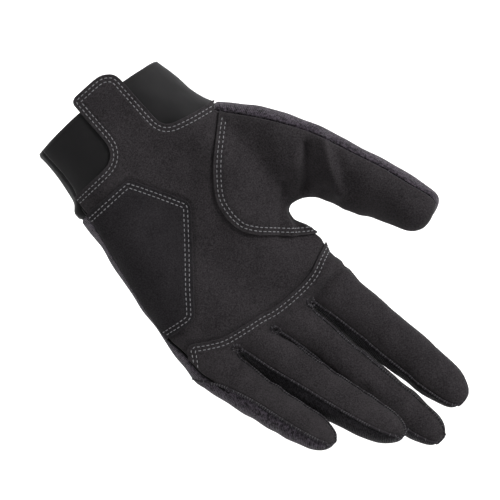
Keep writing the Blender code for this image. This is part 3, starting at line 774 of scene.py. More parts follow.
def snap_to_outline(co, no, touched, outline, keep, margin):
    """Move points near an outline onto it and return the places and signed distances."""
    flat = flat_places(co)
    away = np.full(len(co), FAR)
    away[touched] = inside_distance(flat[touched], outline) * keep - margin
    near = np.flatnonzero(np.abs(away) < SNAP)
    slope = np.empty((len(near), 2))
    for axis in range(2):
        moved = flat[near].copy()
        moved[:, axis] += SLOPE_STEP
        slope[:, axis] = (inside_distance(moved, outline) * keep - margin - away[near]) / SLOPE_STEP
    slope /= np.maximum(np.linalg.norm(slope, axis=1), LEAST_SLOPE)[:, None]
    shift = -slope * away[near][:, None] * MM
    side = no[near, 0] * shift[:, 0] - no[near, 2] * shift[:, 1]
    facing = no[near, 1]
    depth = np.where(np.abs(facing) > LEAST_FACING, -side / np.minimum(facing, -LEAST_FACING), 0.0)
    co[near] += np.column_stack((shift[:, 0], depth, -shift[:, 1]))
    away[near] = 0.0
    return co, away


def in_zones(form, zones):
    """Return which faces of a form lie in these zones."""
    return np.isin(form["zone"], [ZONES.index(zone) for zone in zones])


def open_sheet(form, zones, cuts):
    """Return a trimmed sheet. cuts lists (outline, keep, margin, zones): keep is 1 for the
    inside and -1 for the outside, margin is how far inside that line the cut runs, in mm,
    and only faces of these zones are cut."""
    wanted = in_zones(form, zones)
    for outline, keep, margin, cut_zones in cuts:
        own = np.flatnonzero(wanted & in_zones(form, cut_zones))
        corners = form["quads"][own]
        reach = inside_distance(flat_places(form["co"][corners.ravel()]), outline) * keep - margin
        wanted[own[(reach.reshape(corners.shape) < -SNAP).all(axis=1)]] = False
    quads = form["quads"][wanted]
    used, faces = np.unique(quads, return_inverse=True)
    faces = faces.reshape(quads.shape)
    spots = np.zeros((len(used), 3))
    spots[faces, :2] = form["uv"][wanted]
    co, no = form["co"][used], form["no"][used]
    signs = []
    for outline, keep, margin, cut_zones in cuts:
        touched = np.zeros(len(co), bool)
        touched[faces[in_zones(form, cut_zones)[wanted]]] = True
        co, away = snap_to_outline(co, no, touched, outline, keep, margin)
        signs.append(away)
    sheet = bmesh.new()
    normal = sheet.verts.layers.float_vector.new("normal")
    cloth = sheet.verts.layers.float_vector.new("cloth")
    values = [{} for _ in cuts]
    verts = []
    for i, place in enumerate(co):
        vert = sheet.verts.new(place)
        vert[normal] = no[i]
        vert[cloth] = spots[i]
        verts.append(vert)
        for value, away in zip(values, signs):
            value[vert] = away[i]
    for face in faces:
        sheet.faces.new([verts[i] for i in face])
    for n, value in enumerate(values):
        trim(sheet, value, values[n + 1:], normal, cloth)
    return sheet, normal, cloth


def trim(sheet, value, others, normal, cloth):
    """Cut a sheet where value is 0 and drop the part where it is below 0."""
    for edge in list(sheet.edges):
        a, b = edge.verts
        if value[a] * value[b] < 0:
            share = value[a] / (value[a] - value[b])
            place = a.co.lerp(b.co, share)
            tip = bmesh.utils.edge_split(edge, a, share)[1]
            tip.co = place
            tip[normal] = a[normal].lerp(b[normal], share)
            tip[cloth] = a[cloth].lerp(b[cloth], share)
            value[tip] = 0.0
            for other in others:
                other[tip] = other[a] + (other[b] - other[a]) * share
    for face in list(sheet.faces):
        ends = [vert for vert in face.verts if value[vert] == 0.0]
        if len(ends) == 2 and not any(set(edge.verts) == set(ends) for edge in face.edges):
            bmesh.utils.face_split(face, ends[0], ends[1])
    gone = [face for face in sheet.faces if sum(value[vert] for vert in face.verts) <= 0]
    bmesh.ops.delete(sheet, geom=gone, context="FACES")


# %% [markdown]
# ## Walls
# The sheet then gets a second side and a rounded rim. A cut edge of suede keeps a small
# lip, and the thread pulls two furrows along it. An edge that is turned in and sewn from
# inside, as on the fingers, rolls down into its seam. Both follow from the distance of each
# point to the panel's edge. First come the rules for the relief near an edge, then the
# edge itself and each point's way into the panel, and last the wall that is built on them.

# %% Walls
RIM = ((0.20, 0.09), (0.34, 0.32), (0.34, 0.68), (0.20, 0.91))
SEAM_GAP = 0.10
STITCH_ROWS = (1.8, 3.6)
FURROW = {"depth": 0.22, "width": 0.55}
LIP = {"height": 0.14, "width": 0.9}
PUCKER = {"height": 0.16, "reach": 5.0}
TURN_STARTS = (1.0, 3.0)
LEAST_PULL = 0.3


def smooth_step(value, start, end):
    """Return 0 up to start and 1 from end on, with a smooth rise between them."""
    share = np.clip((value - start) / (end - start), 0, 1)
    return share * share * (3 - 2 * share)


def ripple(flat):
    """Return small irregular waves between -1 and 1, about 5 mm long."""
    across, down = flat[:, 0], flat[:, 1]
    return (np.sin(1.13 * across + 0.41 * down) + np.sin(0.52 * across - 1.21 * down + 1.3)
            + np.sin(0.83 * across + 1.02 * down + 2.9)) / 3


def edge_relief(flat, away, cut, roll, drop):
    """Return the lift, in mm, from the distances to the panel's edge and to its cut line."""
    height = LIP["height"] * np.exp(-(cut / LIP["width"]) ** 2)
    for row in STITCH_ROWS:
        height -= FURROW["depth"] * np.exp(-((cut - row) / FURROW["width"]) ** 2)
    height += PUCKER["height"] * ripple(flat) * np.exp(-(cut / PUCKER["reach"]) ** 2)
    turned = np.clip(1 - away / roll, 0, 1) ** 2 * smooth_step(cut, *TURN_STARTS)
    return height - drop * turned


def edge_pull(sheet):
    """Return the edges of the sheet's rim, its points, and each point's way into the panel."""
    rims = []
    pull = np.zeros((len(sheet.verts), 3))
    shares = np.zeros(len(sheet.verts))
    for face in sheet.faces:
        for loop in face.loops:
            if loop.edge.is_boundary:
                start, end = loop.vert, loop.link_loop_next.vert
                along = (end.co - start.co).normalized()
                inward = face.calc_center_median() - start.co
                inward = (inward - along * inward.dot(along)).normalized()
                rims.append((start.index, end.index))
                for vert in (start, end):
                    pull[vert.index] += inward
                    shares[vert.index] += 1
    edge = np.flatnonzero(shares)
    pull[edge] /= shares[edge][:, None]
    pull[edge] /= np.maximum((pull[edge] ** 2).sum(axis=1), LEAST_PULL)[:, None]
    return rims, edge, pull


def distance_to_edge(co, edge):
    """Return each point's distance to the panel's edge, in mm."""
    tree = KDTree(len(edge))
    for i in edge:
        tree.insert(co[i], int(i))
    tree.balance()
    return np.array([tree.find(place)[2] for place in co]) / MM


def wall_faces(faces, rims, edge, count):
    """Return the faces of a wall: outer side, inner side and the rounded rim between."""
    spot = np.full(count, -1)
    spot[edge] = np.arange(len(edge))

    def rim_point(level, i):
        if level == 0:
            return i
        if level > len(RIM):
            return count + i
        return 2 * count + (level - 1) * len(edge) + int(spot[i])

    quads = faces + [[count + i for i in reversed(face)] for face in faces]
    for start, end in rims:
        for level in range(len(RIM) + 1):
            quads.append([rim_point(level, end), rim_point(level, start),
                          rim_point(level + 1, start), rim_point(level + 1, end)])
    return quads


def link_piece(name, points, faces):
    """Make a smooth-shaded piece from its points and faces, and put it in the scene."""
    mesh = bpy.data.meshes.new(name)
    mesh.from_pydata(points.tolist(), [], faces)
    mesh.shade_smooth()
    piece = bpy.data.objects.new(name, mesh)
    bpy.context.scene.collection.objects.link(piece)
    return piece


def make_panel(name, zones, thickness, cuts=(), line=None, lift=None, roll=1.4, drop=0.4,
               form=fine):
    """Make one panel as a closed wall and return it with its outer surface. line is the
    outline that its stitches follow. lift is a rule from flat places to a lift in mm. The
    panel's turned edges drop by drop over a width of roll. All sizes are in mm."""
    sheet, normal, cloth = open_sheet(form, zones, cuts)
    sheet.verts.index_update()
    co = np.array([vert.co for vert in sheet.verts])
    no = np.array([vert[normal] for vert in sheet.verts])
    no /= np.linalg.norm(no, axis=1)[:, None]
    spots = np.array([vert[cloth] for vert in sheet.verts])[:, :2]
    faces = [[vert.index for vert in face.verts] for face in sheet.faces]
    area = sum(face.calc_area() for face in sheet.faces)
    rims, edge, pull = edge_pull(sheet)
    sheet.free()
    away = distance_to_edge(co, edge)
    flat = flat_places(co)
    cut = line_distance(flat, line) if line is not None else np.full(len(co), FAR)
    height = edge_relief(flat, away, cut, roll, drop)
    if lift is not None:
        height = height + lift(flat)
    base = co + pull * ((SEAM_GAP + RIM[1][0] * thickness) * MM)
    rows = [base + no * (height * MM)[:, None], base + no * ((height - thickness) * MM)[:, None]]
    for out, down in RIM:
        row = base - pull * (out * thickness * MM) + no * ((height - down * thickness) * MM)[:, None]
        rows.append(row[edge])
    panel = link_piece(name, np.vstack(rows), wall_faces(faces, rims, edge, len(co)))
    mesh = panel.data
    laid = np.vstack([spots, spots] + [spots[edge]] * len(RIM))
    layer = mesh.uv_layers.new(name="cloth")
    layer.data.foreach_set("uv", laid[read(mesh.loops, "vertex_index", 1, np.int32)].ravel())
    near = np.minimum(away, cut)
    marks = mesh.attributes.new("edge", "FLOAT", "POINT")
    marks.data.foreach_set("value", np.concatenate([near, near] + [np.zeros(len(edge))] * len(RIM)))
    print(name, len(mesh.polygons), "faces,", round(area * 1e4, 1), "cm2")
    return {"piece": panel, "area": area, "surface": BVHTree.FromPolygons(rows[0].tolist(), faces)}


# %% [markdown]
# ## Panels
# The suede is thin, and the cuff is twice as thick. The palm panel lies on the cuff, the
# heel patch on the palm panel, and the thumb and finger panels on the palm panel's edges.
# Each is lifted by one layer there and comes down to the form where the layer below ends,
# and a panel is pressed in where another is sewn on top. The back's knit comes round to
# the seam on the little finger's side. The thumb's knit is puffed a little and rolls in.

# %% Panels
SUEDE = 0.8
KNIT = 1.0
CUFF = 1.6
LAYER = 0.9
UNDER = 2.6
CUFF_LAP = (34.5, 42.0)
EDGE_LAP = (4.5, 11.0)
PRESS = {"depth": 0.35, "width": 1.1}
SINK = {"all": 0.1, "middle": 0.45, "down": 150, "spread": 9}
PUFF = 0.3
EDGE_GAP = 0.4
PALM_ZONES = ("tab", "cuff_front", "palm", "fingers_front", "thumb_front")


def over_cuff(flat):
    """Return the lift of what lies on the cuff. It fades out past the cuff's end."""
    return LAYER * (1 - smooth_step(flat[:, 1], *CUFF_LAP))


def pressed(flat, line):
    """Return how far a seam on top presses a panel in."""
    return -PRESS["depth"] * np.exp(-(line_distance(flat, line) / PRESS["width"]) ** 2)


def palm_lift(flat):
    """Return the palm panel's lift. The panels sewn on top press it in along their seams."""
    return (over_cuff(flat) + pressed(flat, heel_line) + pressed(flat, thumb_line)
            + pressed(flat, finger_line))


def heel_lift(flat):
    """Return the heel patch's lift, one layer above the palm panel."""
    return over_cuff(flat) + LAYER


def edge_lift(line):
    """Return the rule that lifts a panel by one layer along its sewn edge."""
    def lift(flat):
        near = 1 - smooth_step(line_distance(flat, line), *EDGE_LAP)
        return over_cuff(flat) + LAYER * near
    return lift


def sunk(flat):
    """Return how far the strips lie in, most of all where the fingers are closest."""
    hollow = np.exp(-((flat[:, 1] - SINK["down"]) / SINK["spread"]) ** 2)
    return -SINK["all"] - SINK["middle"] * hollow


def puffed(flat):
    """Return the same small lift everywhere."""
    return np.full(len(flat), PUFF)


panels = {
    "cuff_front": make_panel("cuff_front_cloth", ("cuff_front",), CUFF, roll=1.6, drop=0.6),
    "cuff_back": make_panel("cuff_back_cloth", ("cuff_back",), CUFF, roll=1.6, drop=0.6, form=plain),
    "palm_panel": make_panel(
        "palm_panel_suede", PALM_ZONES, SUEDE,
        ((palm_area, 1, 0, PALM_ZONES), (thumb_side, -1, -UNDER, PALM_ZONES),
         (finger_area, -1, -UNDER, PALM_ZONES), (inner_side, 1, 0, ("thumb_front",)),
         (ulnar_side, -1, EDGE_GAP, PALM_ZONES)),
        palm_line, palm_lift),
    "heel_patch": make_panel(
        "heel_patch_suede", ("palm",), SUEDE,
        ((heel_line, 1, 0, ("palm",)), (ulnar_side, -1, EDGE_GAP, ("palm",))),
        heel_line, heel_lift),
    "thumb_panel": make_panel(
        "thumb_panel_suede", ("palm", "thumb_front"), SUEDE,
        ((thumb_area, 1, 0, ("palm", "thumb_front")),), thumb_line, edge_lift(thumb_line)),
    "finger_panel": make_panel(
        "finger_panel_suede", ("palm", "fingers_front"), SUEDE,
        ((finger_area, 1, 0, ("palm", "fingers_front")),
         (ulnar_side, -1, EDGE_GAP, ("palm", "fingers_front"))),
        finger_line, edge_lift(finger_line)),
    "fourchette_ring_little": make_panel(
        "ring_little_strip", ("fourchette_0",), KNIT, lift=sunk, form=plain),
    "fourchette_middle_ring": make_panel(
        "middle_ring_strip", ("fourchette_1",), KNIT, lift=sunk, form=plain),
    "fourchette_index_middle": make_panel(
        "index_middle_strip", ("fourchette_2",), KNIT, lift=sunk, form=plain),
    "back_panel": make_panel(
        "back_knit", ("back", "palm", "fingers_front"), KNIT,
        ((ulnar_side, 1, 0, ("palm", "fingers_front")),)),
    "thumb_back": make_panel(
        "thumb_knit", ("thumb_back", "thumb_front"), KNIT,
        ((inner_side, -1, 0, ("thumb_front",)),), lift=puffed, roll=2.6, drop=1.0),
}

# %% [markdown]
# ## Thread
# Two rows of lockstitch hold each cut edge, 1.8 and 3.6 mm in. A stitch is a short piece of
# thread that dips into the suede at both ends. One is modelled as a thin bent tube and
# copied along the rows, so that the light finds every one of them.

# %% Stitches
STITCH = {"pitch": 2.25, "length": 1.55, "radius": 0.20, "rise": 0.15, "sides": 5, "rings": 5}
LINE_STEP = 0.35
CORNER_SLACK = 0.12
RAY_START = -0.2
HIDDEN_BY = 0.2 * MM
LONGEST_STEP = 4 * MM
SHORTEST_RUN = 8


def stitch_shape(length, radius, rise, sides, rings, **_):
    """Return the points and faces of one stitch along X, with its middle up along Z."""
    points, faces = [], []
    for j in range(rings):
        share = j / (rings - 1) * 2 - 1
        lift = rise - (rise + radius) * share ** 4
        thick = radius * math.sqrt(max(1 - 0.6 * share ** 4, 0.1))
        for i in range(sides):
            angle = 2 * math.pi * i / sides
            points.append((share * length / 2, thick * math.cos(angle),
                           lift + thick * math.sin(angle)))
    for j in range(rings - 1):
        for i in range(sides):
            k = (i + 1) % sides
            faces.append((j * sides + i, j * sides + k, (j + 1) * sides + k, (j + 1) * sides + i))
    faces.append(tuple(range(sides)))
    faces.append(tuple(reversed(range((rings - 1) * sides, rings * sides))))
    return np.array(points) * MM, faces


def offset_line(line, area, inset):
    """Return the line moved into its area, without the loops at its tight corners."""
    run = np.gradient(line, axis=0)
    run /= np.linalg.norm(run, axis=1)[:, None]
    side = np.column_stack((-run[:, 1], run[:, 0]))
    best = max((line + side * inset, line - side * inset),
               key=lambda moved: np.median(inside_distance(moved, area)))
    return best[inside_distance(best, area) > inset - CORNER_SLACK]


def lay_on(surface, above, line):
    """Lay a flat line on a surface from the palm side. Return runs of (place, normal). A
    run ends where the surface ends, where it jumps, and where the surface above hides it."""
    runs = [[]]
    ahead = Vector((0, 1, 0))
    for across, down in smooth_line(line[::2], LINE_STEP):
        start = Vector((across * MM, RAY_START, -down * MM))
        place, normal = surface.ray_cast(start, ahead)[:2]
        cover = above.ray_cast(start, ahead)[0] if above else None
        if place is None or (cover is not None and cover.y < place.y - HIDDEN_BY):
            runs.append([])
            continue
        if runs[-1] and (place - runs[-1][-1][0]).length > LONGEST_STEP:
            runs.append([])
        runs[-1].append((place, normal))
    return [run for run in runs if len(run) > SHORTEST_RUN]


def spaced(run, pitch):
    """Return places every pitch along a run, each with its direction and normal."""
    places = np.array([place for place, _ in run])
    normals = np.array([normal for _, normal in run])
    steps = np.linalg.norm(np.diff(places, axis=0), axis=1)
    length = np.concatenate(([0], np.cumsum(steps)))
    stops = np.arange(pitch / 2, length[-1], pitch)
    at = np.column_stack([np.interp(stops, length, places[:, k]) for k in range(3)])
    ahead = np.column_stack([np.interp(stops + pitch / 4, length, places[:, k]) for k in range(3)])
    behind = np.column_stack([np.interp(stops - pitch / 4, length, places[:, k]) for k in range(3)])
    along = ahead - behind
    along /= np.maximum(np.linalg.norm(along, axis=1), 1e-9)[:, None]
    up = np.column_stack([np.interp(stops, length, normals[:, k]) for k in range(3)])
    up -= along * (up * along).sum(axis=1)[:, None]
    up /= np.maximum(np.linalg.norm(up, axis=1), 1e-9)[:, None]
    return at, along, up


def thread_piece(name, rows, shape):
    """Make one piece of stitches from (places, along, up) rows."""
    template, faces = shape
    points, all_faces = [], []
    for at, along, up in rows:
        for place, x, z in zip(at, along, up):
            frame_axes = np.vstack((x, np.cross(z, x), z))
            start = len(points) * len(template)
            points.append(template @ frame_axes + place)
            all_faces += [tuple(start + i for i in face) for face in faces]
    print(name, len(points), "stitches")
    return link_piece(name, np.vstack(points), all_faces)


lock_stitch = stitch_shape(**STITCH)
threads = []
for name, line, area, above in (
        ("palm_panel", palm_line, palm_area, "thumb_panel"),
        ("heel_patch", heel_line, heel_line, None),
        ("thumb_panel", thumb_line, thumb_area, None),
        ("finger_panel", finger_line, finger_area, None)):
    rows = []
    for inset in STITCH_ROWS:
        cover = panels[above]["surface"] if above else None
        for run in lay_on(panels[name]["surface"], cover, offset_line(line, area, inset)):
            rows.append(spaced(run, STITCH["pitch"] * MM))
    threads.append(thread_piece(name + "_stitches", rows, lock_stitch))

# %% [markdown]
# The finger seams are overcast: both edges are rolled together and a fine thread crosses
# them every 1.3 mm. The roll is a thin tube along the border between the palm side and the
# knit, round every finger. Where two fingers part, it closes in a small ring. Its thread is
# laid over it like the rungs of a ladder. On the little finger's side of the hand the roll
# is turned in, so its tube lies sunk between suede and knit. Its near black colour there
# is painted shade for the groove's shadow.

# %% Seam thread
SEAM_STITCH = {"pitch": 1.3, "length": 1.35, "radius": 0.13, "rise": 0.58, "sides": 4, "rings": 5}
ROLL = {"radius": 0.56, "up": 0.05, "sunk": -0.45, "station": 0.7, "sides": 6, "swell": 0.10}
FINGERS_FROM = 121
SEAM_SHOWS = 0.7
SEAM_LEAN = 0.25
SHORTEST_SEAM = 12
LOOP = {"radius": 1.8, "stretch": 1.45, "points": 28, "up": 0.35, "above": 0.25}


def border_runs(form, inner, outer):
    """Return the chains of points between two sets of zones, as (place, normal)."""
    inner_set = {ZONES.index(zone) for zone in inner}
    sides = {}
    for n in np.flatnonzero(in_zones(form, inner + outer)):
        quad = form["quads"][n]
        for a, b in zip(quad, np.roll(quad, -1)):
            sides.setdefault((min(a, b), max(a, b)), []).append(form["zone"][n] in inner_set)
    links = {}
    for (a, b), insides in sides.items():
        if len(set(insides)) == 2:
            links.setdefault(a, []).append(b)
            links.setdefault(b, []).append(a)
    runs = []
    left = set(links)
    while left:
        ends = [i for i in left if len([j for j in links[i] if j in left]) < 2]
        chain = [min(ends) if ends else min(left)]
        left.discard(chain[0])
        following = links[chain[0]]
        while [j for j in following if j in left]:
            chain.append(min(j for j in following if j in left))
            left.discard(chain[-1])
            following = links[chain[-1]]
        runs.append([(Vector(form["co"][i]), Vector(form["no"][i])) for i in chain])
    return [run for run in runs if len(run) > SHORTEST_SEAM]


def rungs(run, chance):
    """Return stitches across a seam, each leaning a little and some of them hidden."""
    at, along, up = spaced(run, SEAM_STITCH["pitch"] * MM)
    shown = chance.random(len(at)) < SEAM_SHOWS
    lean = chance.normal(0, SEAM_LEAN, len(at))[:, None]
    across = np.cross(up, along) + along * lean
    across /= np.linalg.norm(across, axis=1)[:, None]
    return at[shown], across[shown], up[shown]


def below(runs, down):
    """Return the parts of the runs that lie further down the hand than down, in mm."""
    kept = []
    for run in runs:
        part = []
        for place, normal in run:
            if -place.z > down * MM:
                part.append((place, normal))
            elif part:
                kept.append(part)
                part = []
        kept.append(part)
    return [part for part in kept if len(part) > SHORTEST_SEAM]


def web_loop(form, zone):
    """Return the ring of seam at the top of one strip, as a run of (place, normal)."""
    strip = set(form["quads"][in_zones(form, (zone,))].ravel())
    front = set(form["quads"][in_zones(form, ("palm", "fingers_front"))].ravel())
    shared = sorted(strip & front)
    top = max(shared, key=lambda i: form["co"][i][2])
    normal = Vector(form["no"][top]).normalized()
    aside = Vector((0, 0, 1)).cross(normal).normalized()
    ahead = normal.cross(aside)
    middle = Vector(form["co"][top]) + ahead * LOOP["radius"] * LOOP["above"] * MM
    ring = []
    for n in range(LOOP["points"] + 1):
        turn = 2 * math.pi * n / LOOP["points"]
        spot = (aside * math.cos(turn) + ahead * math.sin(turn) * LOOP["stretch"]) * LOOP["radius"]
        ring.append((middle + spot * MM + normal * LOOP["up"] * MM, normal))
    return ring


def roll_radius(n):
    """Return the radius of the roll at its nth station. It swells and thins a little."""
    return ROLL["radius"] * MM * (1 + ROLL["swell"] * math.sin(1.9 * n) * math.sin(0.37 * n))


def rolled_seam(name, rows, raised):
    """Make one piece of rolled seams, a tube along each of the rows, raised in mm."""
    sides = ROLL["sides"]
    angles = np.arange(sides) * 2 * math.pi / sides
    points, faces = [], []
    for at, along, up in rows:
        first = len(points) * sides
        last = first + (len(at) - 1) * sides
        aside = np.cross(up, along)
        for n, place in enumerate(at):
            ring = np.outer(np.cos(angles), aside[n]) + np.outer(np.sin(angles), up[n])
            points.append(place + up[n] * raised * MM + roll_radius(n) * ring)
        for start in range(first, last, sides):
            for i in range(sides):
                j = (i + 1) % sides
                faces.append((start + i, start + j, start + sides + j, start + sides + i))
        faces.append(tuple(reversed(range(first, first + sides))))
        faces.append(tuple(range(last, last + sides)))
    print(name, len(rows), "runs,", len(faces), "faces")
    return link_piece(name, np.vstack(points), faces)


cross_stitch = stitch_shape(**SEAM_STITCH)
seam_runs = below(border_runs(fine, ("fingers_front", "palm"),
                              ("fourchette_0", "fourchette_1", "fourchette_2", "back")), FINGERS_FROM)
hand = BVHTree.FromPolygons(fine["co"].tolist(), fine["quads"].tolist())
edge_runs = lay_on(hand, None, ulnar_line)
loops = [web_loop(fine, "fourchette_" + str(k)) for k in range(3)]
rolls = [spaced(run, ROLL["station"] * MM) for run in seam_runs + loops]
threads.append(rolled_seam("finger_seam_roll", rolls, ROLL["up"]))
rolls = [spaced(run, ROLL["station"] * MM) for run in edge_runs]
threads.append(rolled_seam("hand_edge_seam", rolls, ROLL["sunk"]))
chance = np.random.default_rng(7)
seam_rows = [rungs(run, chance) for run in seam_runs + loops]
threads.append(thread_piece("finger_seam_thread", seam_rows, cross_stitch))

# %% [markdown]
# ## Materials
# One function turns a hex colour to linear light, and one adds a node with its settings and
# links. Every pattern's scale comes from a size in millimetres. A wave texture turns by 20
# radians for each unit along one axis, and by 10 along each of three on the diagonal.

# %% Material helpers
ONE_AXIS = 20
DIAGONAL = 10 * math.sqrt(3)


def linear(code):
    """Turn an sRGB hex colour to linear light, with full opacity."""
    parts = [int(code[i:i + 2], 16) / 255 for i in (1, 3, 5)]
    return tuple(c / 12.92 if c <= 0.04045 else ((c + 0.055) / 1.055) ** 2.4 for c in parts) + (1.0,)


def add(tree, kind, values=None, links=None, **settings):
    """Add a node with its settings. values sets its sockets and links joins others to them."""
    node = tree.nodes.new(kind)
    for key, value in settings.items():
        setattr(node, key, value)
    for key, value in (values or {}).items():
        node.inputs[key].default_value = value
    for key, socket in (links or {}).items():
        tree.links.new(socket, node.inputs[key])
    return node


def new_material(name):
    """Return a new material, its node tree and its main shader."""
    material = bpy.data.materials.new(name)
    material.use_nodes = True
    tree = material.node_tree
    return material, tree, tree.nodes["Principled BSDF"]


def finish_surface(tree, shader, colour, normal, **sockets):
    """Join colour and normal to the shader, and set its other sockets to plain numbers."""
    tree.links.new(colour, shader.inputs["Base Color"])
    tree.links.new(normal, shader.inputs["Normal"])
    for name, value in sockets.items():
        shader.inputs[name.replace("_", " ")].default_value = value


def per_mm(size):
    """Return a noise scale whose features are about size millimetres wide."""
    return 1.0 / (size * MM)


def wave_scale(gap, rate):
    """Return a wave scale whose bands stand gap millimetres apart. rate is the node's own."""
    return 2 * math.pi / (rate * gap * MM)


print("the suede's colour in linear light:", [round(c, 4) for c in linear("#302d2f")[:3]])

# %% [markdown]
# ### Brushed microfibre suede
# Split polyester fibres are needled together, and the face is sanded to a short nap. The
# nap is matt and lies in soft patches, and it is rubbed a little lighter along a cut edge.
# The single fibres are finer than a pixel, so the grain is drawn at two thirds of a
# millimetre. The heel patch is a shade darker. The sunk seam is nearly black, which is
# painted shade for the shadow in its groove.

# %% Suede
SUEDE_PATCH = 16
SUEDE_GRAIN = 0.65
SUEDE_CRUMPLE = 3.2
SUEDE_PATCHINESS = 0.15
RUBBED_EDGE = {"From Min": 0.9, "From Max": 0.1, "To Max": 0.3}


def suede_material(name, dark, light, worn):
    """Return a suede between two shades, with a third one where its edges are rubbed."""
    material, tree, shader = new_material(name)
    place = add(tree, "ShaderNodeTexCoord").outputs["Object"]
    patches = add(tree, "ShaderNodeTexNoise",
                  {"Scale": per_mm(SUEDE_PATCH), "Detail": 3.0, "Roughness": 0.55}, {"Vector": place})
    grain = add(tree, "ShaderNodeTexNoise",
                {"Scale": per_mm(SUEDE_GRAIN), "Detail": 4.0, "Roughness": 0.8}, {"Vector": place})
    crumple = add(tree, "ShaderNodeTexNoise", {"Scale": per_mm(SUEDE_CRUMPLE), "Detail": 2.0},
                  {"Vector": place})
    blend = add(tree, "ShaderNodeMath", {1: SUEDE_PATCHINESS}, {0: patches.outputs["Fac"]},
                operation="MULTIPLY")
    both = add(tree, "ShaderNodeMath", {1: 1 - SUEDE_PATCHINESS},
               {0: grain.outputs["Fac"], 2: blend.outputs[0]}, operation="MULTIPLY_ADD")
    tone = add(tree, "ShaderNodeMapRange", {"From Min": 0.36, "From Max": 0.64},
               {"Value": both.outputs[0]})
    colour = add(tree, "ShaderNodeMix", {6: linear(dark), 7: linear(light)},
                 {0: tone.outputs["Result"]}, data_type="RGBA")
    edge = add(tree, "ShaderNodeAttribute", attribute_name="edge")
    wear = add(tree, "ShaderNodeMapRange", RUBBED_EDGE, {"Value": edge.outputs["Fac"]})
    rubbed = add(tree, "ShaderNodeMix", {7: linear(worn)},
                 {0: wear.outputs["Result"], 6: colour.outputs[2]}, data_type="RGBA")
    nap = add(tree, "ShaderNodeBump", {"Strength": 0.55, "Distance": 0.12 * MM},
              {"Height": grain.outputs["Fac"]})
    soft = add(tree, "ShaderNodeBump", {"Strength": 0.5, "Distance": 0.35 * MM},
               {"Height": crumple.outputs["Fac"], "Normal": nap.outputs["Normal"]})
    finish_surface(tree, shader, rubbed.outputs[2], soft.outputs["Normal"], Roughness=0.95,
                   Specular_IOR_Level=0.10, Sheen_Weight=0.02, Sheen_Roughness=0.4)
    return material


palm_suede = suede_material("brushed_microfibre_suede", "#0d0c0d", "#302d2f", "#2b2a2b")
heel_suede = suede_material("brushed_microfibre_suede_heel", "#0b0a0c", "#262426", "#222122")
seam_cloth = suede_material("rolled_suede_seam", "#0f0e10", "#302d30", "#262427")
# The sunk seam's near black colours are painted shade for the shadow in the groove at the hand's edge.
edge_seam_painted_shade = suede_material("sunk_seam_painted_shade", "#020202", "#080708", "#080708")
print("suedes:", palm_suede.name, heel_suede.name, seam_cloth.name, edge_seam_painted_shade.name)

# %% [markdown]
# ### Heathered knit
# The back is a fine jersey of polyester and elastane. Each wale is a column of small V
# shapes along the fingers, 0.85 mm wide. The V's come from the cloth's own UV map: a
# zigzag across slants the sine waves along. Two shades of yarn give the back flecks of
# about a millimetre. The strips between the fingers are the same knit with darker
# colours, which are painted shade for the shadow that falls between the fingers.

# %% Knit
KNIT_PATCH = 9
WALE = 0.85
COURSE = 0.75
V_SLANT = 0.9
KNIT_RIBS = -0.6
KNIT_FLECKS = 0.8
KNIT_PATCHINESS = 0.15


def knit_material(name, dark, light, fleck):
    """Return a knit of two shades of yarn, with flecks about fleck millimetres wide."""
    material, tree, shader = new_material(name)
    cloth = add(tree, "ShaderNodeUVMap", uv_map="cloth").outputs["UV"]
    place = add(tree, "ShaderNodeTexCoord").outputs["Object"]
    parts = add(tree, "ShaderNodeSeparateXYZ", links={"Vector": cloth})
    column = add(tree, "ShaderNodeMath", {1: 1 / (WALE * MM)}, {0: parts.outputs["X"]},
                 operation="MULTIPLY")
    zigzag = add(tree, "ShaderNodeMath", {1: 0.5}, {0: column.outputs[0]}, operation="PINGPONG")
    slant = add(tree, "ShaderNodeMath", {1: V_SLANT * WALE * MM}, {0: zigzag.outputs[0]},
                operation="MULTIPLY")
    shifted = add(tree, "ShaderNodeMath", links={0: parts.outputs["Y"], 1: slant.outputs[0]},
                  operation="SUBTRACT")
    row = add(tree, "ShaderNodeMath", {1: 2 * math.pi / (COURSE * MM)}, {0: shifted.outputs[0]},
              operation="MULTIPLY")
    loops = add(tree, "ShaderNodeMath", links={0: row.outputs[0]}, operation="SINE")
    centre = add(tree, "ShaderNodeMath", {1: 4 * math.pi}, {0: zigzag.outputs[0]},
                 operation="MULTIPLY")
    ribs = add(tree, "ShaderNodeMath", links={0: centre.outputs[0]}, operation="COSINE")
    height = add(tree, "ShaderNodeMath", {1: KNIT_RIBS},
                 {0: ribs.outputs[0], 2: loops.outputs[0]}, operation="MULTIPLY_ADD")
    heather = add(tree, "ShaderNodeTexNoise",
                  {"Scale": per_mm(fleck), "Detail": 3.0, "Roughness": 0.75}, {"Vector": place})
    patches = add(tree, "ShaderNodeTexNoise", {"Scale": per_mm(KNIT_PATCH), "Detail": 2.0},
                  {"Vector": place})
    lit = add(tree, "ShaderNodeMapRange",
              {"From Min": -1.4, "From Max": 1.6, "To Min": -0.22, "To Max": 0.22},
              {"Value": height.outputs[0]})
    speck = add(tree, "ShaderNodeMapRange", {"From Min": 0.40, "From Max": 0.60},
                {"Value": heather.outputs["Fac"]})
    mixed = add(tree, "ShaderNodeMath", {1: KNIT_FLECKS},
                {0: speck.outputs["Result"], 2: lit.outputs["Result"]}, operation="MULTIPLY_ADD")
    tone = add(tree, "ShaderNodeMath", {1: KNIT_PATCHINESS},
               {0: patches.outputs["Fac"], 2: mixed.outputs[0]},
               operation="MULTIPLY_ADD", use_clamp=True)
    colour = add(tree, "ShaderNodeMix", {6: linear(dark), 7: linear(light)}, {0: tone.outputs[0]},
                 data_type="RGBA")
    relief = add(tree, "ShaderNodeBump", {"Strength": 0.7, "Distance": 0.12 * MM},
                 {"Height": height.outputs[0]})
    finish_surface(tree, shader, colour.outputs[2], relief.outputs["Normal"], Roughness=0.9,
                   Specular_IOR_Level=0.1, Sheen_Weight=0.18, Sheen_Roughness=0.3)
    return material


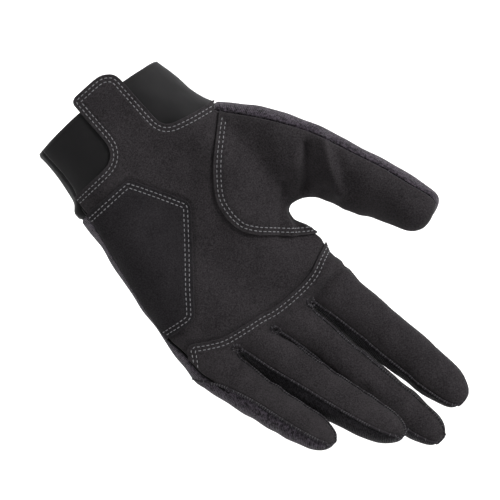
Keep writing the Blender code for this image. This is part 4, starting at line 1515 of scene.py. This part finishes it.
back_knit = knit_material("heathered_jersey_knit", "#050406", "#464048", 1.25)
# The strips' darker colours are painted shade for the shadow between the fingers.
strip_knit_painted_shade = knit_material("jersey_knit_painted_shade", "#060507", "#2b292c", 0.9)
print("knits:", back_knit.name, strip_knit_painted_shade.name)

# %% [markdown]
# ### Smooth stretch cuff
# The cuff is foam with a smooth knit on it, pressed flat by heat. It is near black and has
# a soft shine where it turns to the light. Faint ribs about 3 mm apart run along the hand.

# %% Cuff cloth
CUFF_RIB = 3.16
CUFF_PATCH = 7


def cuff_material(name, dark, light):
    """Return the cuff's cloth, with soft patches of two shades."""
    material, tree, shader = new_material(name)
    cloth = add(tree, "ShaderNodeUVMap", uv_map="cloth").outputs["UV"]
    place = add(tree, "ShaderNodeTexCoord").outputs["Object"]
    ribs = add(tree, "ShaderNodeTexWave",
               {"Scale": wave_scale(CUFF_RIB, ONE_AXIS), "Distortion": 0.4},
               {"Vector": cloth}, bands_direction="X")
    patches = add(tree, "ShaderNodeTexNoise", {"Scale": per_mm(CUFF_PATCH), "Detail": 3.0},
                  {"Vector": place})
    colour = add(tree, "ShaderNodeMix", {6: linear(dark), 7: linear(light)},
                 {0: patches.outputs["Fac"]}, data_type="RGBA")
    fine_rib = add(tree, "ShaderNodeBump", {"Strength": 0.25, "Distance": 0.05 * MM},
                   {"Height": ribs.outputs["Fac"]})
    soft = add(tree, "ShaderNodeBump", {"Strength": 0.35, "Distance": 0.4 * MM},
               {"Height": patches.outputs["Fac"], "Normal": fine_rib.outputs["Normal"]})
    finish_surface(tree, shader, colour.outputs[2], soft.outputs["Normal"], Roughness=0.72,
                   Specular_IOR_Level=0.14, Sheen_Weight=0.03, Sheen_Roughness=0.4)
    return material


cuff_cloth = cuff_material("smooth_stretch_foam_cloth", "#0c0c0d", "#131213")
print("cuff:", cuff_cloth.name)

# %% [markdown]
# ### Bonded polyester thread
# The thread is twisted from three strands and waxed, so it is smooth and catches a little
# light. It is a shade lighter than the suede, and uneven along its length.

# %% Thread
THREAD_TWIST = 1.14
THREAD_TINT = 4
THREAD_SHADE = 0.6


def thread_material(name, code):
    """Return a waxed thread of one shade, a little darker in places."""
    material, tree, shader = new_material(name)
    place = add(tree, "ShaderNodeTexCoord").outputs["Object"]
    twist = add(tree, "ShaderNodeTexWave",
                {"Scale": wave_scale(THREAD_TWIST, DIAGONAL), "Distortion": 1.5},
                {"Vector": place}, bands_direction="DIAGONAL")
    strands = add(tree, "ShaderNodeBump", {"Strength": 0.4, "Distance": 0.05 * MM},
                  {"Height": twist.outputs["Fac"]})
    tint = add(tree, "ShaderNodeTexNoise", {"Scale": per_mm(THREAD_TINT)}, {"Vector": place})
    shade = tuple(c * THREAD_SHADE for c in linear(code)[:3]) + (1.0,)
    colour = add(tree, "ShaderNodeMix", {6: shade, 7: linear(code)}, {0: tint.outputs["Fac"]},
                 data_type="RGBA")
    finish_surface(tree, shader, colour.outputs[2], strands.outputs["Normal"], Roughness=0.55)
    return material


grey_thread = thread_material("waxed_polyester_thread_grey", "#77777a")
dark_thread = thread_material("waxed_polyester_thread_dark", "#454447")
print("threads:", grey_thread.name, dark_thread.name)

# %% [markdown]
# ## Dressing the frame
# Each panel takes the place of its solid and rides on the glove's one body. The size, in
# metres, of the piece it was cut from is only used to print how much of it the panel takes.

# %% Frame
DRESS = {
    "cuff_front": (cuff_cloth, "neoprene", (0.100, 0.045)),
    "cuff_back": (cuff_cloth, "neoprene", (0.115, 0.045)),
    "palm_panel": (palm_suede, "suede", (0.100, 0.140)),
    "heel_patch": (heel_suede, "suede", (0.062, 0.074)),
    "thumb_panel": (palm_suede, "suede", (0.080, 0.125)),
    "finger_panel": (palm_suede, "suede", (0.110, 0.125)),
    "fourchette_ring_little": (strip_knit_painted_shade, "knit", (0.030, 0.150)),
    "fourchette_middle_ring": (strip_knit_painted_shade, "knit", (0.030, 0.165)),
    "fourchette_index_middle": (strip_knit_painted_shade, "knit", (0.030, 0.160)),
    "back_panel": (back_knit, "back_knit", (0.160, 0.200)),
    "thumb_back": (back_knit, "back_knit", (0.070, 0.135)),
}
# The hand's edge seam gets the near black suede, which is painted shade for its groove.
THREAD_LOOKS = {"finger_seam_roll": seam_cloth, "finger_seam_thread": dark_thread,
                "hand_edge_seam": edge_seam_painted_shade}

for node, (material, slot, size) in DRESS.items():
    piece, area = panels[node]["piece"], panels[node]["area"]
    piece.data.materials.append(material)
    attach(piece, "root")
    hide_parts(node)
    print(node, "takes", round(area / (size[0] * size[1]) * 100), "% of the piece it is cut from")
for piece in threads:
    piece.data.materials.append(THREAD_LOOKS.get(piece.name, grey_thread))
    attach(piece, "root")

# %% [markdown]
# ## The studio
# A white sweep curves from the floor up behind the glove. One large soft light stands to the
# upper right of the camera and a weak one to the lower left. Two small ones whiten the
# sweep, and the white room fills the shadows. Only the side of the sweep that faces the
# glove is paper. Its back is clear, so that the glove can also be looked at from behind.

# %% Studio
FLOOR_HEIGHT = -0.32
FLOOR_FRONT = -0.8
SWEEP_WIDTH = 3.0
SWEEP_RADIUS = 0.30
SWEEP_STEPS = 16
WALL_BACK = 0.65
WALL_TOP = 0.9

profile = [(FLOOR_FRONT, FLOOR_HEIGHT)]
for step in range(SWEEP_STEPS + 1):
    angle = math.radians(90 * step / SWEEP_STEPS)
    profile.append((WALL_BACK - SWEEP_RADIUS + SWEEP_RADIUS * math.sin(angle),
                    FLOOR_HEIGHT + SWEEP_RADIUS - SWEEP_RADIUS * math.cos(angle)))
profile.append((WALL_BACK, WALL_TOP))
sweep_points = [(side * SWEEP_WIDTH / 2, y, z) for y, z in profile for side in (-1, 1)]
sweep_faces = [(i, i + 1, i + 3, i + 2) for i in range(0, len(sweep_points) - 2, 2)]
backdrop = link_piece("studio_sweep", np.array(sweep_points), sweep_faces)
paper, paper_tree, paper_shader = new_material("matt_white_paper")
paper_shader.inputs["Base Color"].default_value = linear("#f6f6f6")
paper_shader.inputs["Roughness"].default_value = 0.9
side_seen = add(paper_tree, "ShaderNodeNewGeometry").outputs["Backfacing"]
nothing = add(paper_tree, "ShaderNodeBsdfTransparent").outputs["BSDF"]
one_way = add(paper_tree, "ShaderNodeMixShader",
              links={0: side_seen, 1: paper_shader.outputs["BSDF"], 2: nothing})
paper_tree.links.new(one_way.outputs["Shader"], paper_tree.nodes["Material Output"].inputs["Surface"])
backdrop.data.materials.append(paper)
print("sweep:", len(sweep_faces), "faces")

# %% Lights
WALL_LIGHTS = {"aside": 0.7, "behind": 0.1, "height": 0.75, "size": 0.5, "power": 7.0}
WALL_TARGET = {"aside": 0.2, "height": -0.1}
ROOM_LIGHT = 0.42


def add_light(name, place, size, power, target=VIEW_CENTRE):
    """Add a round soft light that points at its target. Sizes in m, power in W."""
    light = bpy.data.lights.new(name, "AREA")
    light.shape = "DISK"
    light.size = size
    light.energy = power
    lamp = bpy.data.objects.new(name, light)
    lamp.location = place
    lamp.rotation_euler = (target - place).to_track_quat("-Z", "Y").to_euler()
    bpy.context.scene.collection.objects.link(lamp)


add_light("key_light", VIEW_CENTRE + right * 0.9 + up * 0.9 + back * 0.75, 0.6, 27.0)
add_light("fill_light", VIEW_CENTRE - right * 1.0 - up * 0.6 + back * 0.8, 0.8, 3.5)
for side in (-1, 1):
    place = Vector((side * WALL_LIGHTS["aside"], WALL_LIGHTS["behind"], WALL_LIGHTS["height"]))
    target = Vector((side * WALL_TARGET["aside"], WALL_BACK, WALL_TARGET["height"]))
    add_light("wall_light", place, WALL_LIGHTS["size"], WALL_LIGHTS["power"], target)
world = bpy.data.worlds.new("white_room")
world.use_nodes = True
world.node_tree.nodes["Background"].inputs["Color"].default_value = (1, 1, 1, 1)
world.node_tree.nodes["Background"].inputs["Strength"].default_value = ROOM_LIGHT
bpy.context.scene.world = world
bpy.context.scene.view_settings.view_transform = "Standard"
print("lights:", len(bpy.data.lights))
